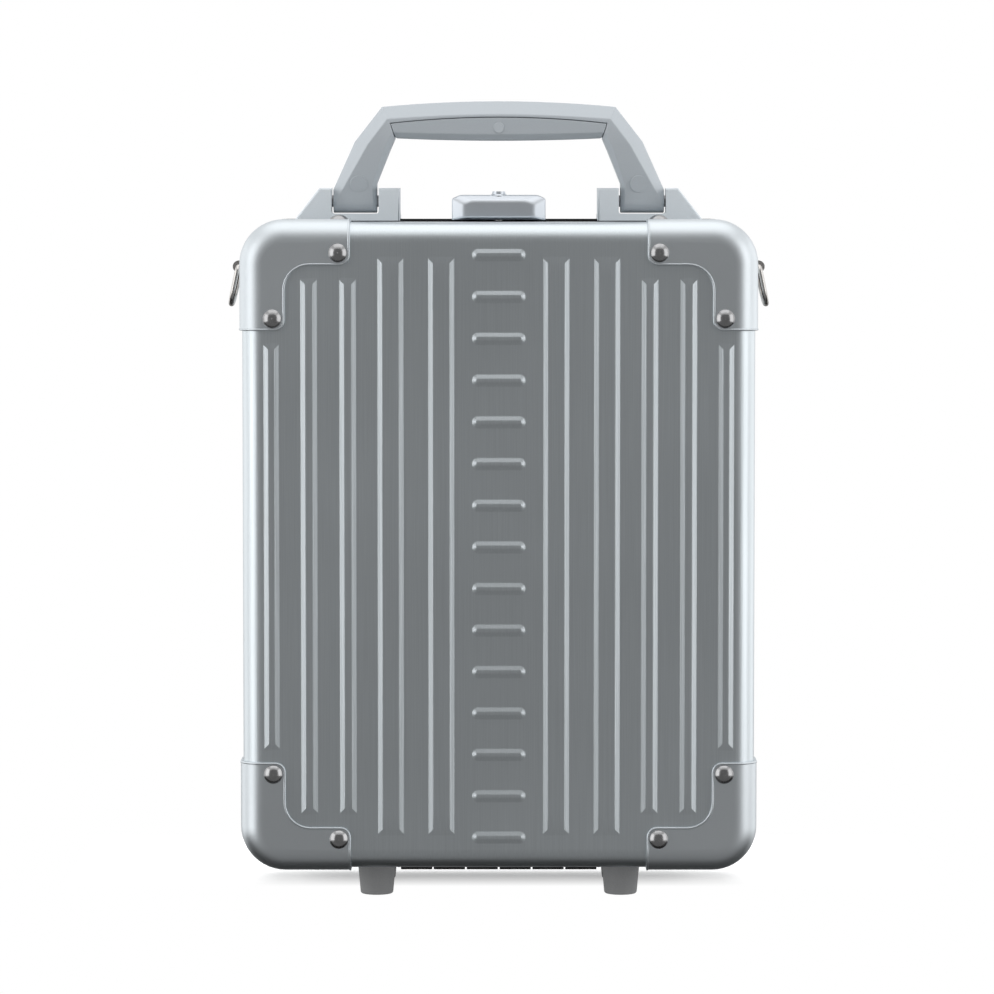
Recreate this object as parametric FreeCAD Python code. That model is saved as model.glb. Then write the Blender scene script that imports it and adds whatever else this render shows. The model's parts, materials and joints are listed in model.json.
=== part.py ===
import FreeCAD, Part
import math
import os

from FreeCAD import Placement, Rotation, Vector

# Portrait aluminium business case that stands on four feet and is carried by a folding top handle.
# The origin is on the floor under the middle of the case, +Z is up and -Y is the front.
# The front shell is the lid: it swings about a knuckle hinge under the case. Lengths are millimetres.

# Case body
CASE_WIDTH = 263.5
CASE_HEIGHT = 333.0
CASE_DEPTH = 112.0
SHEET = 1.5
CORNER_RADIUS = 21.6
EDGE_RADIUS = 11.0

# Fits, gaps and cutting tools
SEAM_GAP = 0.5
FIT = 0.05
RUNNING_FIT = 0.08
CLEARANCE = 0.4
OVERRUN = 3.0
SAME_POINT = 0.01

# Pressed upright ribs, by place across the half width and by reach along the half height
RIB_HEIGHT = 1.3
RIB_FLANK = 2.8
RIB_END_RAMP = 5.0
RIB_ROOT = 0.3
WIDE_RIB = 14.0
NARROW_RIB = 9.2
WIDE_RIB_PLACE_SHARES = (0.2235, 0.4205)
WIDE_RIB_REACH_SHARES = (0.893, 0.893)
NARROW_RIB_PLACE_SHARES = (0.5867, 0.7378, 0.8865)
NARROW_RIB_REACH_SHARES = (0.828, 0.828, 0.628)

# Pressed cross bumps in the middle column
BUMP_COUNT = 15
BUMP_LENGTH = 27.7
BUMP_WIDTH = 6.4
BUMP_FLANK = 1.5
BUMP_HEIGHT = 1.1
BUMP_REACH_SHARE = 0.899

# Frame rails at the parting line
BAND_DEPTH = 5.0
BAND_PROUD = 1.5
REAR_FLANGE_REACH = 10.0
LID_FRAME_REACH = 6.5
LID_FRAME_THICKNESS = 2.0
TONGUE_THICKNESS = 1.5
TONGUE_REACH = 4.5
SEAL_WIDTH = 1.4
SEAL_DEPTH = 2.0
SEAL_PROUD = 0.2

# Corner caps
CAP_SHEET = 1.4
CAP_LEG = 57.0
CAP_WIDTH = 23.65
CAP_BRACKET_GAP = 1.9
CAP_INNER_RADIUS = 12.6
CAP_END_RADIUS = 5.2
CAP_SIDE_RADIUS = 8.0
CAP_RIVET_ALONG = 50.9
CAP_RIVET_ACROSS = 17.3
CAP_EDGE_RIVET_SHARE = 0.6286

# Fasteners: head radius, head height, shank radius, tail radius, tail height
CAP_RIVET_HEAD = 4.85
CAP_RIVET_DOME = 2.3
CAP_RIVET_SHANK = 2.0
CAP_RIVET_TAIL = 3.2
CAP_RIVET_UPSET = 0.9
HINGE_RIVET_HEAD = 3.0
HINGE_RIVET_DOME = 1.0
HINGE_RIVET_SHANK = 1.6
HINGE_RIVET_TAIL = 2.6
HINGE_RIVET_UPSET = 0.9
FOOT_SCREW_HEAD = 3.6
FOOT_SCREW_HEAD_HEIGHT = 2.4
FOOT_SCREW_SHANK = 2.0
FOOT_NUT = 3.5
FOOT_NUT_HEIGHT = 1.9
BRACKET_SCREW_HEAD = 3.3
BRACKET_SCREW_HEAD_HEIGHT = 2.0
BRACKET_SCREW_SHANK = 1.8
LATCH_RIVET_HEAD = 2.6
LATCH_RIVET_DOME = 0.9
LATCH_RIVET_SHANK = 1.5
LATCH_RIVET_TAIL = 2.4
LATCH_RIVET_UPSET = 0.8

# Feet
FOOT_HEIGHT = 16.0
FOOT_TOP_RADIUS = 9.9
FOOT_BOTTOM_RADIUS = 8.4
FOOT_EDGE = 1.2
FOOT_CAP_GAP = 2.85
FOOT_PLACE_SHARE = 0.5
FOOT_BORE_DEPTH = 9.0

# Knuckle hinge under the case
HINGE_LENGTH = 103.8
HINGE_KNUCKLES = 6
HINGE_DROP = 4.0
KNUCKLE_RADIUS = 3.6
KNUCKLE_GAP = 0.9
HINGE_PIN_RADIUS = 1.6
HINGE_PIN_HEAD_RADIUS = 2.5
HINGE_PIN_HEAD = 1.2
LEAF_SHEET = 1.5
LEAF_REACH = 17.0
LEAF_CORNER = 2.0
HINGE_RIVET_IN = 13.2
HINGE_RIVET_SHARES = (-0.8, 0.0, 0.8)

# Handle, with heights above its pivot and distances from the middle
PIVOT_RISE = 10.7
HANDLE_PIN_RADIUS = 3.0
HANDLE_LEG_OUT = 86.2
HANDLE_LEG_IN = 63.4
HANDLE_LEG_HALF = 6.1
HANDLE_KNEE_OUTER_RISE = 6.0
HANDLE_KNEE_INNER_RISE = 9.0
HANDLE_KNEE_HALF = 7.2
HANDLE_SHOULDER_X = 75.0
HANDLE_SHOULDER_RISE = 30.8
HANDLE_GRIP_HALF = 12.0
HANDLE_CORNER_X = 60.8
HANDLE_CORNER_RISE = 49.0
HANDLE_TOP_RISE = 51.9
HANDLE_JUNCTION_X = 54.1
HANDLE_JUNCTION_RISE = 32.8
HANDLE_UNDER_RISE = 31.5
HANDLE_SHOULDER_INNER_SHARE = 0.74
HANDLE_ARC_SHARE = 0.75
HANDLE_BEVEL = 7.0
HANDLE_BEVEL_DEEP = 5.0
HANDLE_ROOT_BEVEL_SHARE = 0.22
HANDLE_KNEE_BEVEL_SHARE = 0.75
HANDLE_INNER_EDGE = 2.0
GRIP_SEAM = 0.35
GRIP_SEAM_X = 56.5
GRIP_SEAM_RISE = 40.4
GRIP_SEAM_MIDDLE_RISE = 43.6
GRIP_END_X = 53.3
PLUG_X = 72.9
PLUG_RISE = 8.9
PLUG_RADIUS = 4.6
PLUG_DEPTH = 2.5
PLUG_SEAM = 0.15
GRIP_PLUG_RADIUS = 2.8
GRIP_PLUG_RISE = 38.0

# Handle brackets
BRACKET_IN = 51.4
BRACKET_OUT = 105.9
BRACKET_TOP_OUT = 93.4
BRACKET_RISE = 17.5
BRACKET_TOE = 1.5
BRACKET_POST = 9.0
BRACKET_REAR = 20.5
BRACKET_EDGE = 1.2
SLOT_SIDE_GAP = 0.9
SLOT_FLOOR_GAP = 0.4
SLOT_CORNER = 1.2
BRACKET_PIN_BITE = 6.0
BRACKET_SCREW_SHARES = (0.28, 0.72)
BRACKET_SCREW_Y = 14.5
BACKING_SHEET = 2.0
BACKING_MARGIN = 4.0

# Latch: lever block, its base and pin, and the lock plunger
LEVER_HALF_WIDTH = 24.3
LEVER_LIFT = 0.9
LEVER_RISE = 13.9
LEVER_FRONT = 18.5
LEVER_REAR = 21.5
LEVER_WALL = 2.0
LEVER_NOSE = 5.0
LEVER_SIDE_BEVEL = 5.7
LEVER_TOP_BEVEL = 3.3
LEVER_BOTTOM_BEVEL = 2.4
LEVER_CORNER_X = 4.2
LEVER_CORNER_Z = 1.9
LEVER_CAVITY_FRONT = 12.5
LEVER_REAR_SLOPE = 2.0
LEVER_STEP_Y = 1.0
LEVER_PIVOT_Y = 16.0
LEVER_PIVOT_RISE = 6.0
LEVER_HEEL_RADIUS = 5.5
LEVER_PIN_RADIUS = 2.0
LEVER_PIN_INSET = 0.3
LATCH_BASE_HALF_WIDTH = 20.0
LATCH_BASE_SHEET = 1.2
LATCH_BASE_REAR = 21.0
LATCH_EAR_IN = 14.5
LATCH_EAR_THICKNESS = 3.5
LATCH_EAR_RADIUS = 3.4
LATCH_POST_SHARE = 0.44
LATCH_RIVET_X = 8.0
LATCH_RIVET_Y = 14.5
PLUNGER_Y = 11.5
PLUNGER_RADIUS = 3.35
PLUNGER_DOME = 1.4
PLUNGER_STEM_RADIUS = 2.0
PLUNGER_TIP_RISE = 0.6
PLUNGER_SHOULDER_RISE = 5.8
PLUNGER_KEYWAY_LENGTH = 3.6
PLUNGER_KEYWAY_WIDTH = 0.7
PLUNGER_KEYWAY_DEPTH = 1.0
GUIDE_WALL = 1.9
GUIDE_RISE = 5.0
FAIRING_RADIUS = 6.8
FAIRING_HEIGHT = 0.4
KEEPER_HALF_WIDTH = 16.0
KEEPER_HALF_DEPTH = 4.8
KEEPER_SHEET = 2.0
KEEPER_CORNER = 1.5
KEEPER_BORE_GAP = 0.35
KEEPER_RIVET_X = 11.0

# Strap rings on the sides
RING_WIRE_RADIUS = 1.5
RING_HALF_WIDTH = 11.0
RING_LENGTH = 19.9
RING_TOP_RADIUS = 3.5
RING_BOTTOM_RADIUS = 9.0
RING_LEAN_DEG = 12.0
RING_Y = 12.5
RING_DROP = 23.5
RING_STANDOFF = 4.4
RING_LOOP_WALL = 1.6
RING_LOOP_HALF = 7.0
RING_PLATE_SHEET = 1.5
RING_PLATE_DOWN = 17.0
RING_PLATE_CORNER = 3.0
RING_RIVET_DOWN = 10.5
RING_RIVET_HEAD = 3.6
RING_RIVET_DOME = 1.5
RING_RIVET_SHANK = 1.6
RING_RIVET_TAIL = 2.3
RING_RIVET_UPSET = 0.9

# Linings and what the case holds inside
LINING_SHEET = 2.0
LINING_EDGE_RADIUS = 7.0
PANEL_SHEET = 2.5
PANEL_MARGIN = 12.0
PANEL_CORNER = 10.0
POCKET_SHEET = 3.0
POCKET_MARGIN = 9.0
POCKET_CORNER = 5.0
DOCUMENT_POCKET_SHARE = 0.52
CARD_POCKET_SHARE = 0.24
CARD_PEN_GAP = 1.9
PEN_LOOP_COUNT = 3
PEN_LOOP_RADIUS = 6.0
PEN_LOOP_WALL = 1.2
PEN_LOOP_LENGTH = 22.0
PEN_LOOP_PITCH = 15.0
STRAP_WIDTH = 25.0
STRAP_SHEET = 1.6
STRAP_RISE_SHARE = 0.06
BUCKLE_LENGTH = 46.0
BUCKLE_WIDTH = 34.0
BUCKLE_SHEET = 8.0
BUCKLE_CORNER = 4.0

# Places worked out from the sizes above
HALF_WIDTH = CASE_WIDTH / 2
HALF_HEIGHT = CASE_HEIGHT / 2
HALF_DEPTH = CASE_DEPTH / 2
BOTTOM_Z = FOOT_HEIGHT
TOP_Z = BOTTOM_Z + CASE_HEIGHT
MID_Z = BOTTOM_Z + HALF_HEIGHT
PIVOT_Z = TOP_Z + PIVOT_RISE
HINGE_Z = BOTTOM_Z - HINGE_DROP
LEVER_PIVOT_Z = TOP_Z + LEVER_PIVOT_RISE
CAP_FACE = HALF_DEPTH + CAP_SHEET
CAP_START = BRACKET_REAR + CAP_BRACKET_GAP
CAP_DEPTH = CAP_FACE - CAP_START
CAP_SIDE = HALF_WIDTH + CAP_SHEET
CAP_TOP = TOP_Z + CAP_SHEET
FOOT_X = CAP_SIDE - CAP_LEG - FOOT_TOP_RADIUS - FOOT_CAP_GAP
LID_FRAME_INSET = SHEET + FIT
TONGUE_INSET = LID_FRAME_INSET + LID_FRAME_THICKNESS + CLEARANCE
FLOOR_Y = HALF_DEPTH - SHEET - CAP_RIVET_UPSET - CLEARANCE
RING_PIVOT_X = HALF_WIDTH + RING_STANDOFF
RING_PIVOT_Z = TOP_Z - RING_DROP

ORIGIN = Vector(0, 0, 0)
AXES = {"X": Vector(1, 0, 0), "Y": Vector(0, 1, 0), "Z": Vector(0, 0, 1)}
MIDDLE = Vector(0, 0, MID_Z)


# Outlines and simple solids

def on_plane(axis, level):
    """Return a function that puts a flat point on the plane square to axis at level."""
    if axis == "X":
        return lambda u, v: Vector(level, u, v)
    if axis == "Y":
        return lambda u, v: Vector(u, level, v)
    return lambda u, v: Vector(u, v, level)


def rectangle(u_low, u_high, v_low, v_high):
    """Return the four corners of a rectangle."""
    return [(u_low, v_low), (u_high, v_low), (u_high, v_high), (u_low, v_high)]


def corner_arc(before, corner, after, radius):
    """Return the start, middle and end of the arc that rounds one corner."""
    corner = Vector(*corner, 0)
    to_before = (Vector(*before, 0) - corner).normalize()
    to_after = (Vector(*after, 0) - corner).normalize()
    half = to_before.getAngle(to_after) / 2
    inward = (to_before + to_after).normalize()
    run = radius / math.tan(half)
    bow = radius / math.sin(half) - radius
    return corner + to_before * run, corner + inward * bow, corner + to_after * run


def outline(axis, level, points, radii=0):
    """Return a closed wire through points, each rounded by its radius."""
    put = on_plane(axis, level)
    if not isinstance(radii, (list, tuple)):
        radii = [radii] * len(points)
    stops = []
    for i, (point, radius) in enumerate(zip(points, radii)):
        after = points[(i + 1) % len(points)]
        if radius:
            stops.append(corner_arc(points[i - 1], point, after, radius))
        else:
            stops.append([Vector(*point, 0)])
    edges = []
    for i, stop in enumerate(stops):
        flat = [put(p.x, p.y) for p in stop]
        if len(flat) > 1:
            edges.append(Part.Arc(*flat).toShape())
        following = stops[(i + 1) % len(stops)][0]
        start = put(following.x, following.y)
        if flat[-1].distanceToPoint(start) > SAME_POINT:
            edges.append(Part.LineSegment(flat[-1], start).toShape())
    return Part.Wire(edges)


def prism(axis, low, high, points, radii=0):
    """Return a flat outline pulled along an axis from low to high."""
    face = Part.Face(outline(axis, low, points, radii))
    return face.extrude(AXES[axis] * (high - low))


def rod(axis, radius, low, high, u, v):
    """Return a cylinder along an axis from low to high."""
    return Part.makeCylinder(radius, high - low, on_plane(axis, low)(u, v), AXES[axis])


def block(x_low, x_high, y_low, y_high, z_low, z_high):
    """Return a plain box between two corners."""
    size = (x_high - x_low, y_high - y_low, z_high - z_low)
    return Part.makeBox(*size, Vector(x_low, y_low, z_low))


def tapered(axis, low, high, low_points, high_points, low_radii=0, high_radii=0):
    """Return a straight-sided solid between two outlines of like corners."""
    wires = [outline(axis, low, low_points, low_radii), outline(axis, high, high_points, high_radii)]
    return Part.makeLoft(wires, True, True)


def joined(shapes):
    """Return one solid made of touching shapes."""
    return shapes[0].multiFuse(shapes[1:]).removeSplitter()


def to_front(shape):
    """Return a rear-half shape moved to the lid by reflection."""
    return shape.mirror(ORIGIN, AXES["Y"])


def to_left(shape):
    """Return a right-hand shape moved to the left by reflection."""
    return shape.mirror(ORIGIN, AXES["X"])


def to_bottom(shape):
    """Return an upper shape moved to the bottom of the case by reflection."""
    return shape.mirror(MIDDLE, AXES["Z"])


def pair(shape):
    """Return a right-hand shape and its left-hand twin."""
    return [shape, to_left(shape)]


def aimed(shape, base, direction):
    """Return a shape built along +Z, moved to base and turned along direction."""
    turned = shape.copy()
    turned.Placement = Placement(base, Rotation(AXES["Z"], direction))
    return turned


# Case outlines

def case_points(inset):
    """Return the corners of the case outline, drawn in by inset."""
    side = HALF_WIDTH - inset
    tall = HALF_HEIGHT - inset
    return rectangle(-side, side, MID_Z - tall, MID_Z + tall)


def case_prism(inset, low, high):
    """Return a prism of the case outline, drawn in by inset."""
    return prism("Y", low, high, case_points(inset), CORNER_RADIUS - inset)


def case_ring(outer, inner, low, high):
    """Return a ring between two insets of the case outline."""
    return case_prism(outer, low, high).cut(case_prism(inner, low - OVERRUN, high + OVERRUN))


def dish(inset, low, face, edge):
    """Return a rear-half block whose edges round over at its outer face."""
    body = case_prism(inset, low, face)
    rim = [e for e in body.Edges if all(abs(v.Y - face) < FIT for v in e.Vertexes)]
    return body.makeFillet(edge, rim)


# Fasteners

def dome(radius, height):
    """Return a shallow dome that stands on the plane z = 0."""
    share = math.atan2(height, radius)
    ball = radius / math.sin(2 * share)
    middle = Vector(ball * math.sin(share), 0, ball * math.cos(share) - ball + height)
    arc = Part.Arc(Vector(radius, 0, 0), middle, Vector(0, 0, height)).toShape()
    foot = Part.LineSegment(ORIGIN, Vector(radius, 0, 0)).toShape()
    stem = Part.LineSegment(Vector(0, 0, height), ORIGIN).toShape()
    return Part.Face(Part.Wire([foot, arc, stem])).revolve(ORIGIN, AXES["Z"], 360)


def rivet(head, crown, shank, tail, upset, grip):
    """Return a domed rivet along +Z whose head sits on z = 0 and clamps grip below it."""
    pieces = [dome(head, crown), rod("Z", shank, -grip - upset, 0, 0, 0)]
    pieces.append(rod("Z", tail, -grip - upset, -grip, 0, 0))
    return joined(pieces)


def screw(head, height, shank, reach):
    """Return a flat-headed screw along +Z whose head top is at z = 0."""
    return joined([rod("Z", head, -height, 0, 0, 0), rod("Z", shank, -reach, 0, 0, 0)])


def hole(radius, grip):
    """Return the clearance hole along +Z for a fastener that clamps grip below z = 0."""
    return rod("Z", radius + FIT, -grip - OVERRUN, OVERRUN, 0, 0)


def cap_face_seats():
    """Return base and direction of the two face rivets of the upper right rear cap."""
    along = CAP_SIDE - CAP_RIVET_ALONG
    across = CAP_SIDE - CAP_RIVET_ACROSS
    high = CAP_TOP - CAP_RIVET_ACROSS
    low = CAP_TOP - CAP_RIVET_ALONG
    return [(Vector(along, CAP_FACE, high), AXES["Y"]), (Vector(across, CAP_FACE, low), AXES["Y"])]


def cap_edge_seat():
    """Return base and direction of the rivet on top of the upper right rear cap."""
    inward = CAP_DEPTH * CAP_EDGE_RIVET_SHARE
    return Vector(CAP_SIDE - CAP_RIVET_ALONG, CAP_FACE - inward, CAP_TOP), AXES["Z"]


def at_cap_rivets(one):
    """Return one shape repeated at all cap rivets of the rear half."""
    faces = [twin for seat in cap_face_seats() for twin in pair(aimed(one, *seat))]
    return faces + [to_bottom(f) for f in faces] + pair(aimed(one, *cap_edge_seat()))


def cap_rivets():
    """Return the rivets of one shell's four caps, on the rear half."""
    grip = CAP_SHEET + SHEET
    sizes = (CAP_RIVET_HEAD, CAP_RIVET_DOME, CAP_RIVET_SHANK, CAP_RIVET_TAIL, CAP_RIVET_UPSET)
    return at_cap_rivets(rivet(*sizes, grip))


def cap_rivet_holes():
    """Return the holes for one shell's cap rivets, on the rear half."""
    return at_cap_rivets(hole(CAP_RIVET_SHANK, CAP_SHEET + SHEET))


# Shells

def rib(place, half_width, half_length, base):
    """Return one raised upright rib whose foot is at depth base."""
    side = RIB_FLANK * RIB_ROOT / RIB_HEIGHT
    ramp = RIB_END_RAMP * RIB_ROOT / RIB_HEIGHT
    low = rib_points(place, half_width + side, half_length + ramp)
    high = rib_points(place, half_width - RIB_FLANK, half_length - RIB_END_RAMP)
    return tapered("Y", base - RIB_ROOT, base + RIB_HEIGHT, low, high)


def rib_points(place, half_width, half_length):
    """Return the corners of a rib's outline about its place across the case."""
    return rectangle(place - half_width, place + half_width, MID_Z - half_length, MID_Z + half_length)


def bump(rise, shrink, base):
    """Return one raised cross bump with round ends, narrowed all round by shrink."""
    length = BUMP_LENGTH / 2 - shrink
    width = BUMP_WIDTH / 2 - shrink
    low = rectangle(-length, length, rise - width, rise + width)
    thin = width - BUMP_FLANK
    short = length - BUMP_FLANK
    high = rectangle(-short, short, rise - thin, rise + thin)
    return tapered("Y", base, base + BUMP_HEIGHT, low, high, width, thin)


def pressings(shrink, base):
    """Return all ribs and bumps of one shell, narrowed by shrink, with their feet at base."""
    shapes = []
    rows = [(WIDE_RIB, WIDE_RIB_PLACE_SHARES, WIDE_RIB_REACH_SHARES)]
    rows.append((NARROW_RIB, NARROW_RIB_PLACE_SHARES, NARROW_RIB_REACH_SHARES))
    for width, places, reaches in rows:
        for place_share, reach_share in zip(places, reaches):
            half_length = HALF_HEIGHT * reach_share - shrink
            shapes += pair(rib(HALF_WIDTH * place_share, width / 2 - shrink, half_length, base))
    reach = HALF_HEIGHT * BUMP_REACH_SHARE
    pitch = 2 * reach / (BUMP_COUNT - 1)
    for i in range(BUMP_COUNT):
        shapes.append(bump(MID_Z - reach + pitch * i, shrink, base))
    return shapes


def shell(rim, holes):
    """Return a pressed shell on the rear half, open at its rim, with its fastener holes."""
    outer = dish(0, rim, HALF_DEPTH, EDGE_RADIUS)
    inner = dish(SHEET, rim - OVERRUN, HALF_DEPTH - SHEET, EDGE_RADIUS - SHEET)
    flank_angle = math.atan2(RIB_HEIGHT, RIB_FLANK)
    shrink = SHEET * math.tan(flank_angle / 2)
    raised = outer.multiFuse(pressings(0, HALF_DEPTH))
    hollow = inner.multiFuse(pressings(shrink, HALF_DEPTH - SHEET))
    return raised.cut(hollow).cut(Part.makeCompound(holes))


# Corner caps

def cap_leg_along_top():
    """Return the space that the cap's top leg fills, rounded at its free end."""
    end = CAP_SIDE - CAP_LEG
    far = CAP_SIDE + OVERRUN
    near = CAP_START - OVERRUN
    beyond = CAP_FACE + OVERRUN
    front = rectangle(end, far, CAP_TOP - CAP_WIDTH, CAP_TOP + OVERRUN)
    plan = rectangle(end, far, CAP_START, beyond)
    seen = prism("Y", near, beyond, front, [CAP_END_RADIUS, 0, 0, 0])
    return seen.common(prism("Z", MID_Z, CAP_TOP + OVERRUN, plan, [CAP_SIDE_RADIUS, 0, 0, 0]))


def cap_leg_along_side():
    """Return the space that the cap's side leg fills, rounded at its free end."""
    end = CAP_TOP - CAP_LEG
    far = CAP_TOP + OVERRUN
    near = CAP_START - OVERRUN
    beyond = CAP_FACE + OVERRUN
    front = rectangle(CAP_SIDE - CAP_WIDTH, CAP_SIDE + OVERRUN, end, far)
    side = rectangle(CAP_START, beyond, end, far)
    seen = prism("Y", near, beyond, front, [CAP_END_RADIUS, 0, 0, 0])
    return seen.common(prism("X", 0, CAP_SIDE + OVERRUN, side, [CAP_SIDE_RADIUS, 0, 0, 0]))


def cap_inner_curve():
    """Return the web that rounds the inside of the cap's L shape."""
    x_high = CAP_SIDE - CAP_WIDTH
    z_high = CAP_TOP - CAP_WIDTH
    x_low = x_high - CAP_INNER_RADIUS
    z_low = z_high - CAP_INNER_RADIUS
    web = block(x_low, x_high, CAP_START, CAP_FACE, z_low, z_high)
    return web.cut(rod("Y", CAP_INNER_RADIUS, CAP_START - OVERRUN, CAP_FACE + OVERRUN, x_low, z_low))


def corner_cap(seats):
    """Return the upper right cap of the rear shell, with a hole at each rivet seat."""
    outer = dish(-CAP_SHEET, CAP_START, CAP_FACE, EDGE_RADIUS + CAP_SHEET)
    inner = dish(-FIT, CAP_START - OVERRUN, HALF_DEPTH + FIT, EDGE_RADIUS + FIT)
    space = joined([cap_leg_along_top(), cap_leg_along_side(), cap_inner_curve()])
    cap = outer.cut(inner).common(space)
    one = hole(CAP_RIVET_SHANK, CAP_SHEET + SHEET)
    holes = [aimed(one, *seat) for seat in seats]
    return cap.cut(Part.makeCompound(holes))


# Frame rails and seal

def rear_frame():
    """Return the rear rail: the black band, its flange in the rear shell and its tongue."""
    band = case_ring(-BAND_PROUD, TONGUE_INSET + TONGUE_THICKNESS, 0, BAND_DEPTH)
    flange = case_ring(SHEET + FIT, TONGUE_INSET, BAND_DEPTH, REAR_FLANGE_REACH)
    tongue = case_ring(TONGUE_INSET, TONGUE_INSET + TONGUE_THICKNESS, -TONGUE_REACH, 0)
    rail = joined([band, flange, tongue])
    groove = case_ring(seal_inset() - FIT, seal_inset() + SEAL_WIDTH + FIT, -OVERRUN, SEAL_DEPTH)
    tongue_side = case_ring(TONGUE_INSET, TONGUE_INSET + TONGUE_THICKNESS, -OVERRUN, SEAL_DEPTH)
    half = HINGE_LENGTH / 2 + HINGE_PIN_HEAD + CLEARANCE
    step = block(-half, half, -OVERRUN, BAND_DEPTH + OVERRUN, BOTTOM_Z - BAND_PROUD - OVERRUN, BOTTOM_Z)
    return rail.cut(groove.cut(tongue_side)).cut(step)


def seal_inset():
    """Return how far in from the case outline the seal's outer side lies."""
    return LID_FRAME_INSET + (LID_FRAME_THICKNESS - SEAL_WIDTH) / 2


def rim_seal():
    """Return the rubber seal in the groove of the band."""
    return case_ring(seal_inset(), seal_inset() + SEAL_WIDTH, -SEAL_PROUD, SEAL_DEPTH)


def lid_frame():
    """Return the lid's rail, inside its rim."""
    return case_ring(LID_FRAME_INSET, LID_FRAME_INSET + LID_FRAME_THICKNESS, -LID_FRAME_REACH, -SEAM_GAP)


# Feet

def foot_y():
    """Return how far behind the parting plane a foot stands."""
    return HALF_DEPTH * FOOT_PLACE_SHARE


def foot():
    """Return the right rear foot with its screw bore."""
    base = Vector(FOOT_X, foot_y(), 0)
    body = Part.makeCone(FOOT_BOTTOM_RADIUS, FOOT_TOP_RADIUS, FOOT_HEIGHT, base)
    body = body.makeFillet(FOOT_EDGE, [e for e in body.Edges if all(v.Z < FIT for v in e.Vertexes)])
    bore = rod("Z", FOOT_SCREW_HEAD + CLEARANCE, -OVERRUN, FOOT_BORE_DEPTH, FOOT_X, foot_y())
    shank = rod("Z", FOOT_SCREW_SHANK + FIT, 0, FOOT_HEIGHT + OVERRUN, FOOT_X, foot_y())
    return body.cut(bore).cut(shank)


def foot_screw():
    """Return the right rear foot's screw with its nut inside the shell."""
    reach = FOOT_BORE_DEPTH - FOOT_SCREW_HEAD_HEIGHT
    nut_foot = BOTTOM_Z + SHEET
    head = rod("Z", FOOT_SCREW_HEAD, reach, FOOT_BORE_DEPTH, FOOT_X, foot_y())
    shank = rod("Z", FOOT_SCREW_SHANK, reach, nut_foot + FOOT_NUT_HEIGHT, FOOT_X, foot_y())
    nut = rod("Z", FOOT_NUT, nut_foot, nut_foot + FOOT_NUT_HEIGHT, FOOT_X, foot_y())
    return joined([head, shank, nut])


def foot_hole():
    """Return the hole in the shell for the right rear foot's screw."""
    return rod("Z", FOOT_SCREW_SHANK + FIT, BOTTOM_Z - OVERRUN, BOTTOM_Z + OVERRUN, FOOT_X, foot_y())


# Hinge

def knuckle_span(index):
    """Return the two ends of a knuckle along the hinge."""
    pitch = HINGE_LENGTH / HINGE_KNUCKLES
    low = pitch * index - HINGE_LENGTH / 2
    return low + KNUCKLE_GAP / 2, low + pitch - KNUCKLE_GAP / 2


def hinge_leaf(own):
    """Return a leaf on the rear half that carries every second knuckle, from own on."""
    half = HINGE_LENGTH / 2
    plate = rectangle(-half, half, 0, LEAF_REACH)
    leaf = prism("Z", BOTTOM_Z - LEAF_SHEET, BOTTOM_Z, plate, [0, 0, LEAF_CORNER, LEAF_CORNER])
    room = KNUCKLE_RADIUS + CLEARANCE
    tubes = []
    for i in range(HINGE_KNUCKLES):
        low, high = knuckle_span(i)
        if i % 2 == own:
            tubes.append(rod("X", KNUCKLE_RADIUS, low, high, 0, HINGE_Z))
        else:
            notch = block(low - KNUCKLE_GAP, high + KNUCKLE_GAP, -room, room, HINGE_Z, BOTTOM_Z + OVERRUN)
            leaf = leaf.cut(notch)
    bore = rod("X", HINGE_PIN_RADIUS + RUNNING_FIT, -half - OVERRUN, half + OVERRUN, 0, HINGE_Z)
    return joined([leaf] + tubes).cut(bore).cut(Part.makeCompound(hinge_rivet_parts(leaf_rivet_hole())))


def leaf_rivet_hole():
    """Return the hole for one hinge rivet."""
    return hole(HINGE_RIVET_SHANK, LEAF_SHEET + SHEET)


def hinge_rivet_parts(one):
    """Return one shape repeated at the rivet places of the rear leaf."""
    base_z = BOTTOM_Z - LEAF_SHEET
    half = HINGE_LENGTH / 2
    bases = [Vector(half * share, HINGE_RIVET_IN, base_z) for share in HINGE_RIVET_SHARES]
    return [aimed(one, base, -AXES["Z"]) for base in bases]


def hinge_rivets():
    """Return the rivets of the rear leaf."""
    sizes = (HINGE_RIVET_HEAD, HINGE_RIVET_DOME, HINGE_RIVET_SHANK, HINGE_RIVET_TAIL, HINGE_RIVET_UPSET)
    return hinge_rivet_parts(rivet(*sizes, LEAF_SHEET + SHEET))


def hinge_pin():
    """Return the hinge pin with its two upset ends."""
    half = HINGE_LENGTH / 2
    pin = rod("X", HINGE_PIN_RADIUS, -half, half, 0, HINGE_Z)
    head = rod("X", HINGE_PIN_HEAD_RADIUS, half, half + HINGE_PIN_HEAD, 0, HINGE_Z)
    return joined([pin] + pair(head))


# Handle

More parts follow.
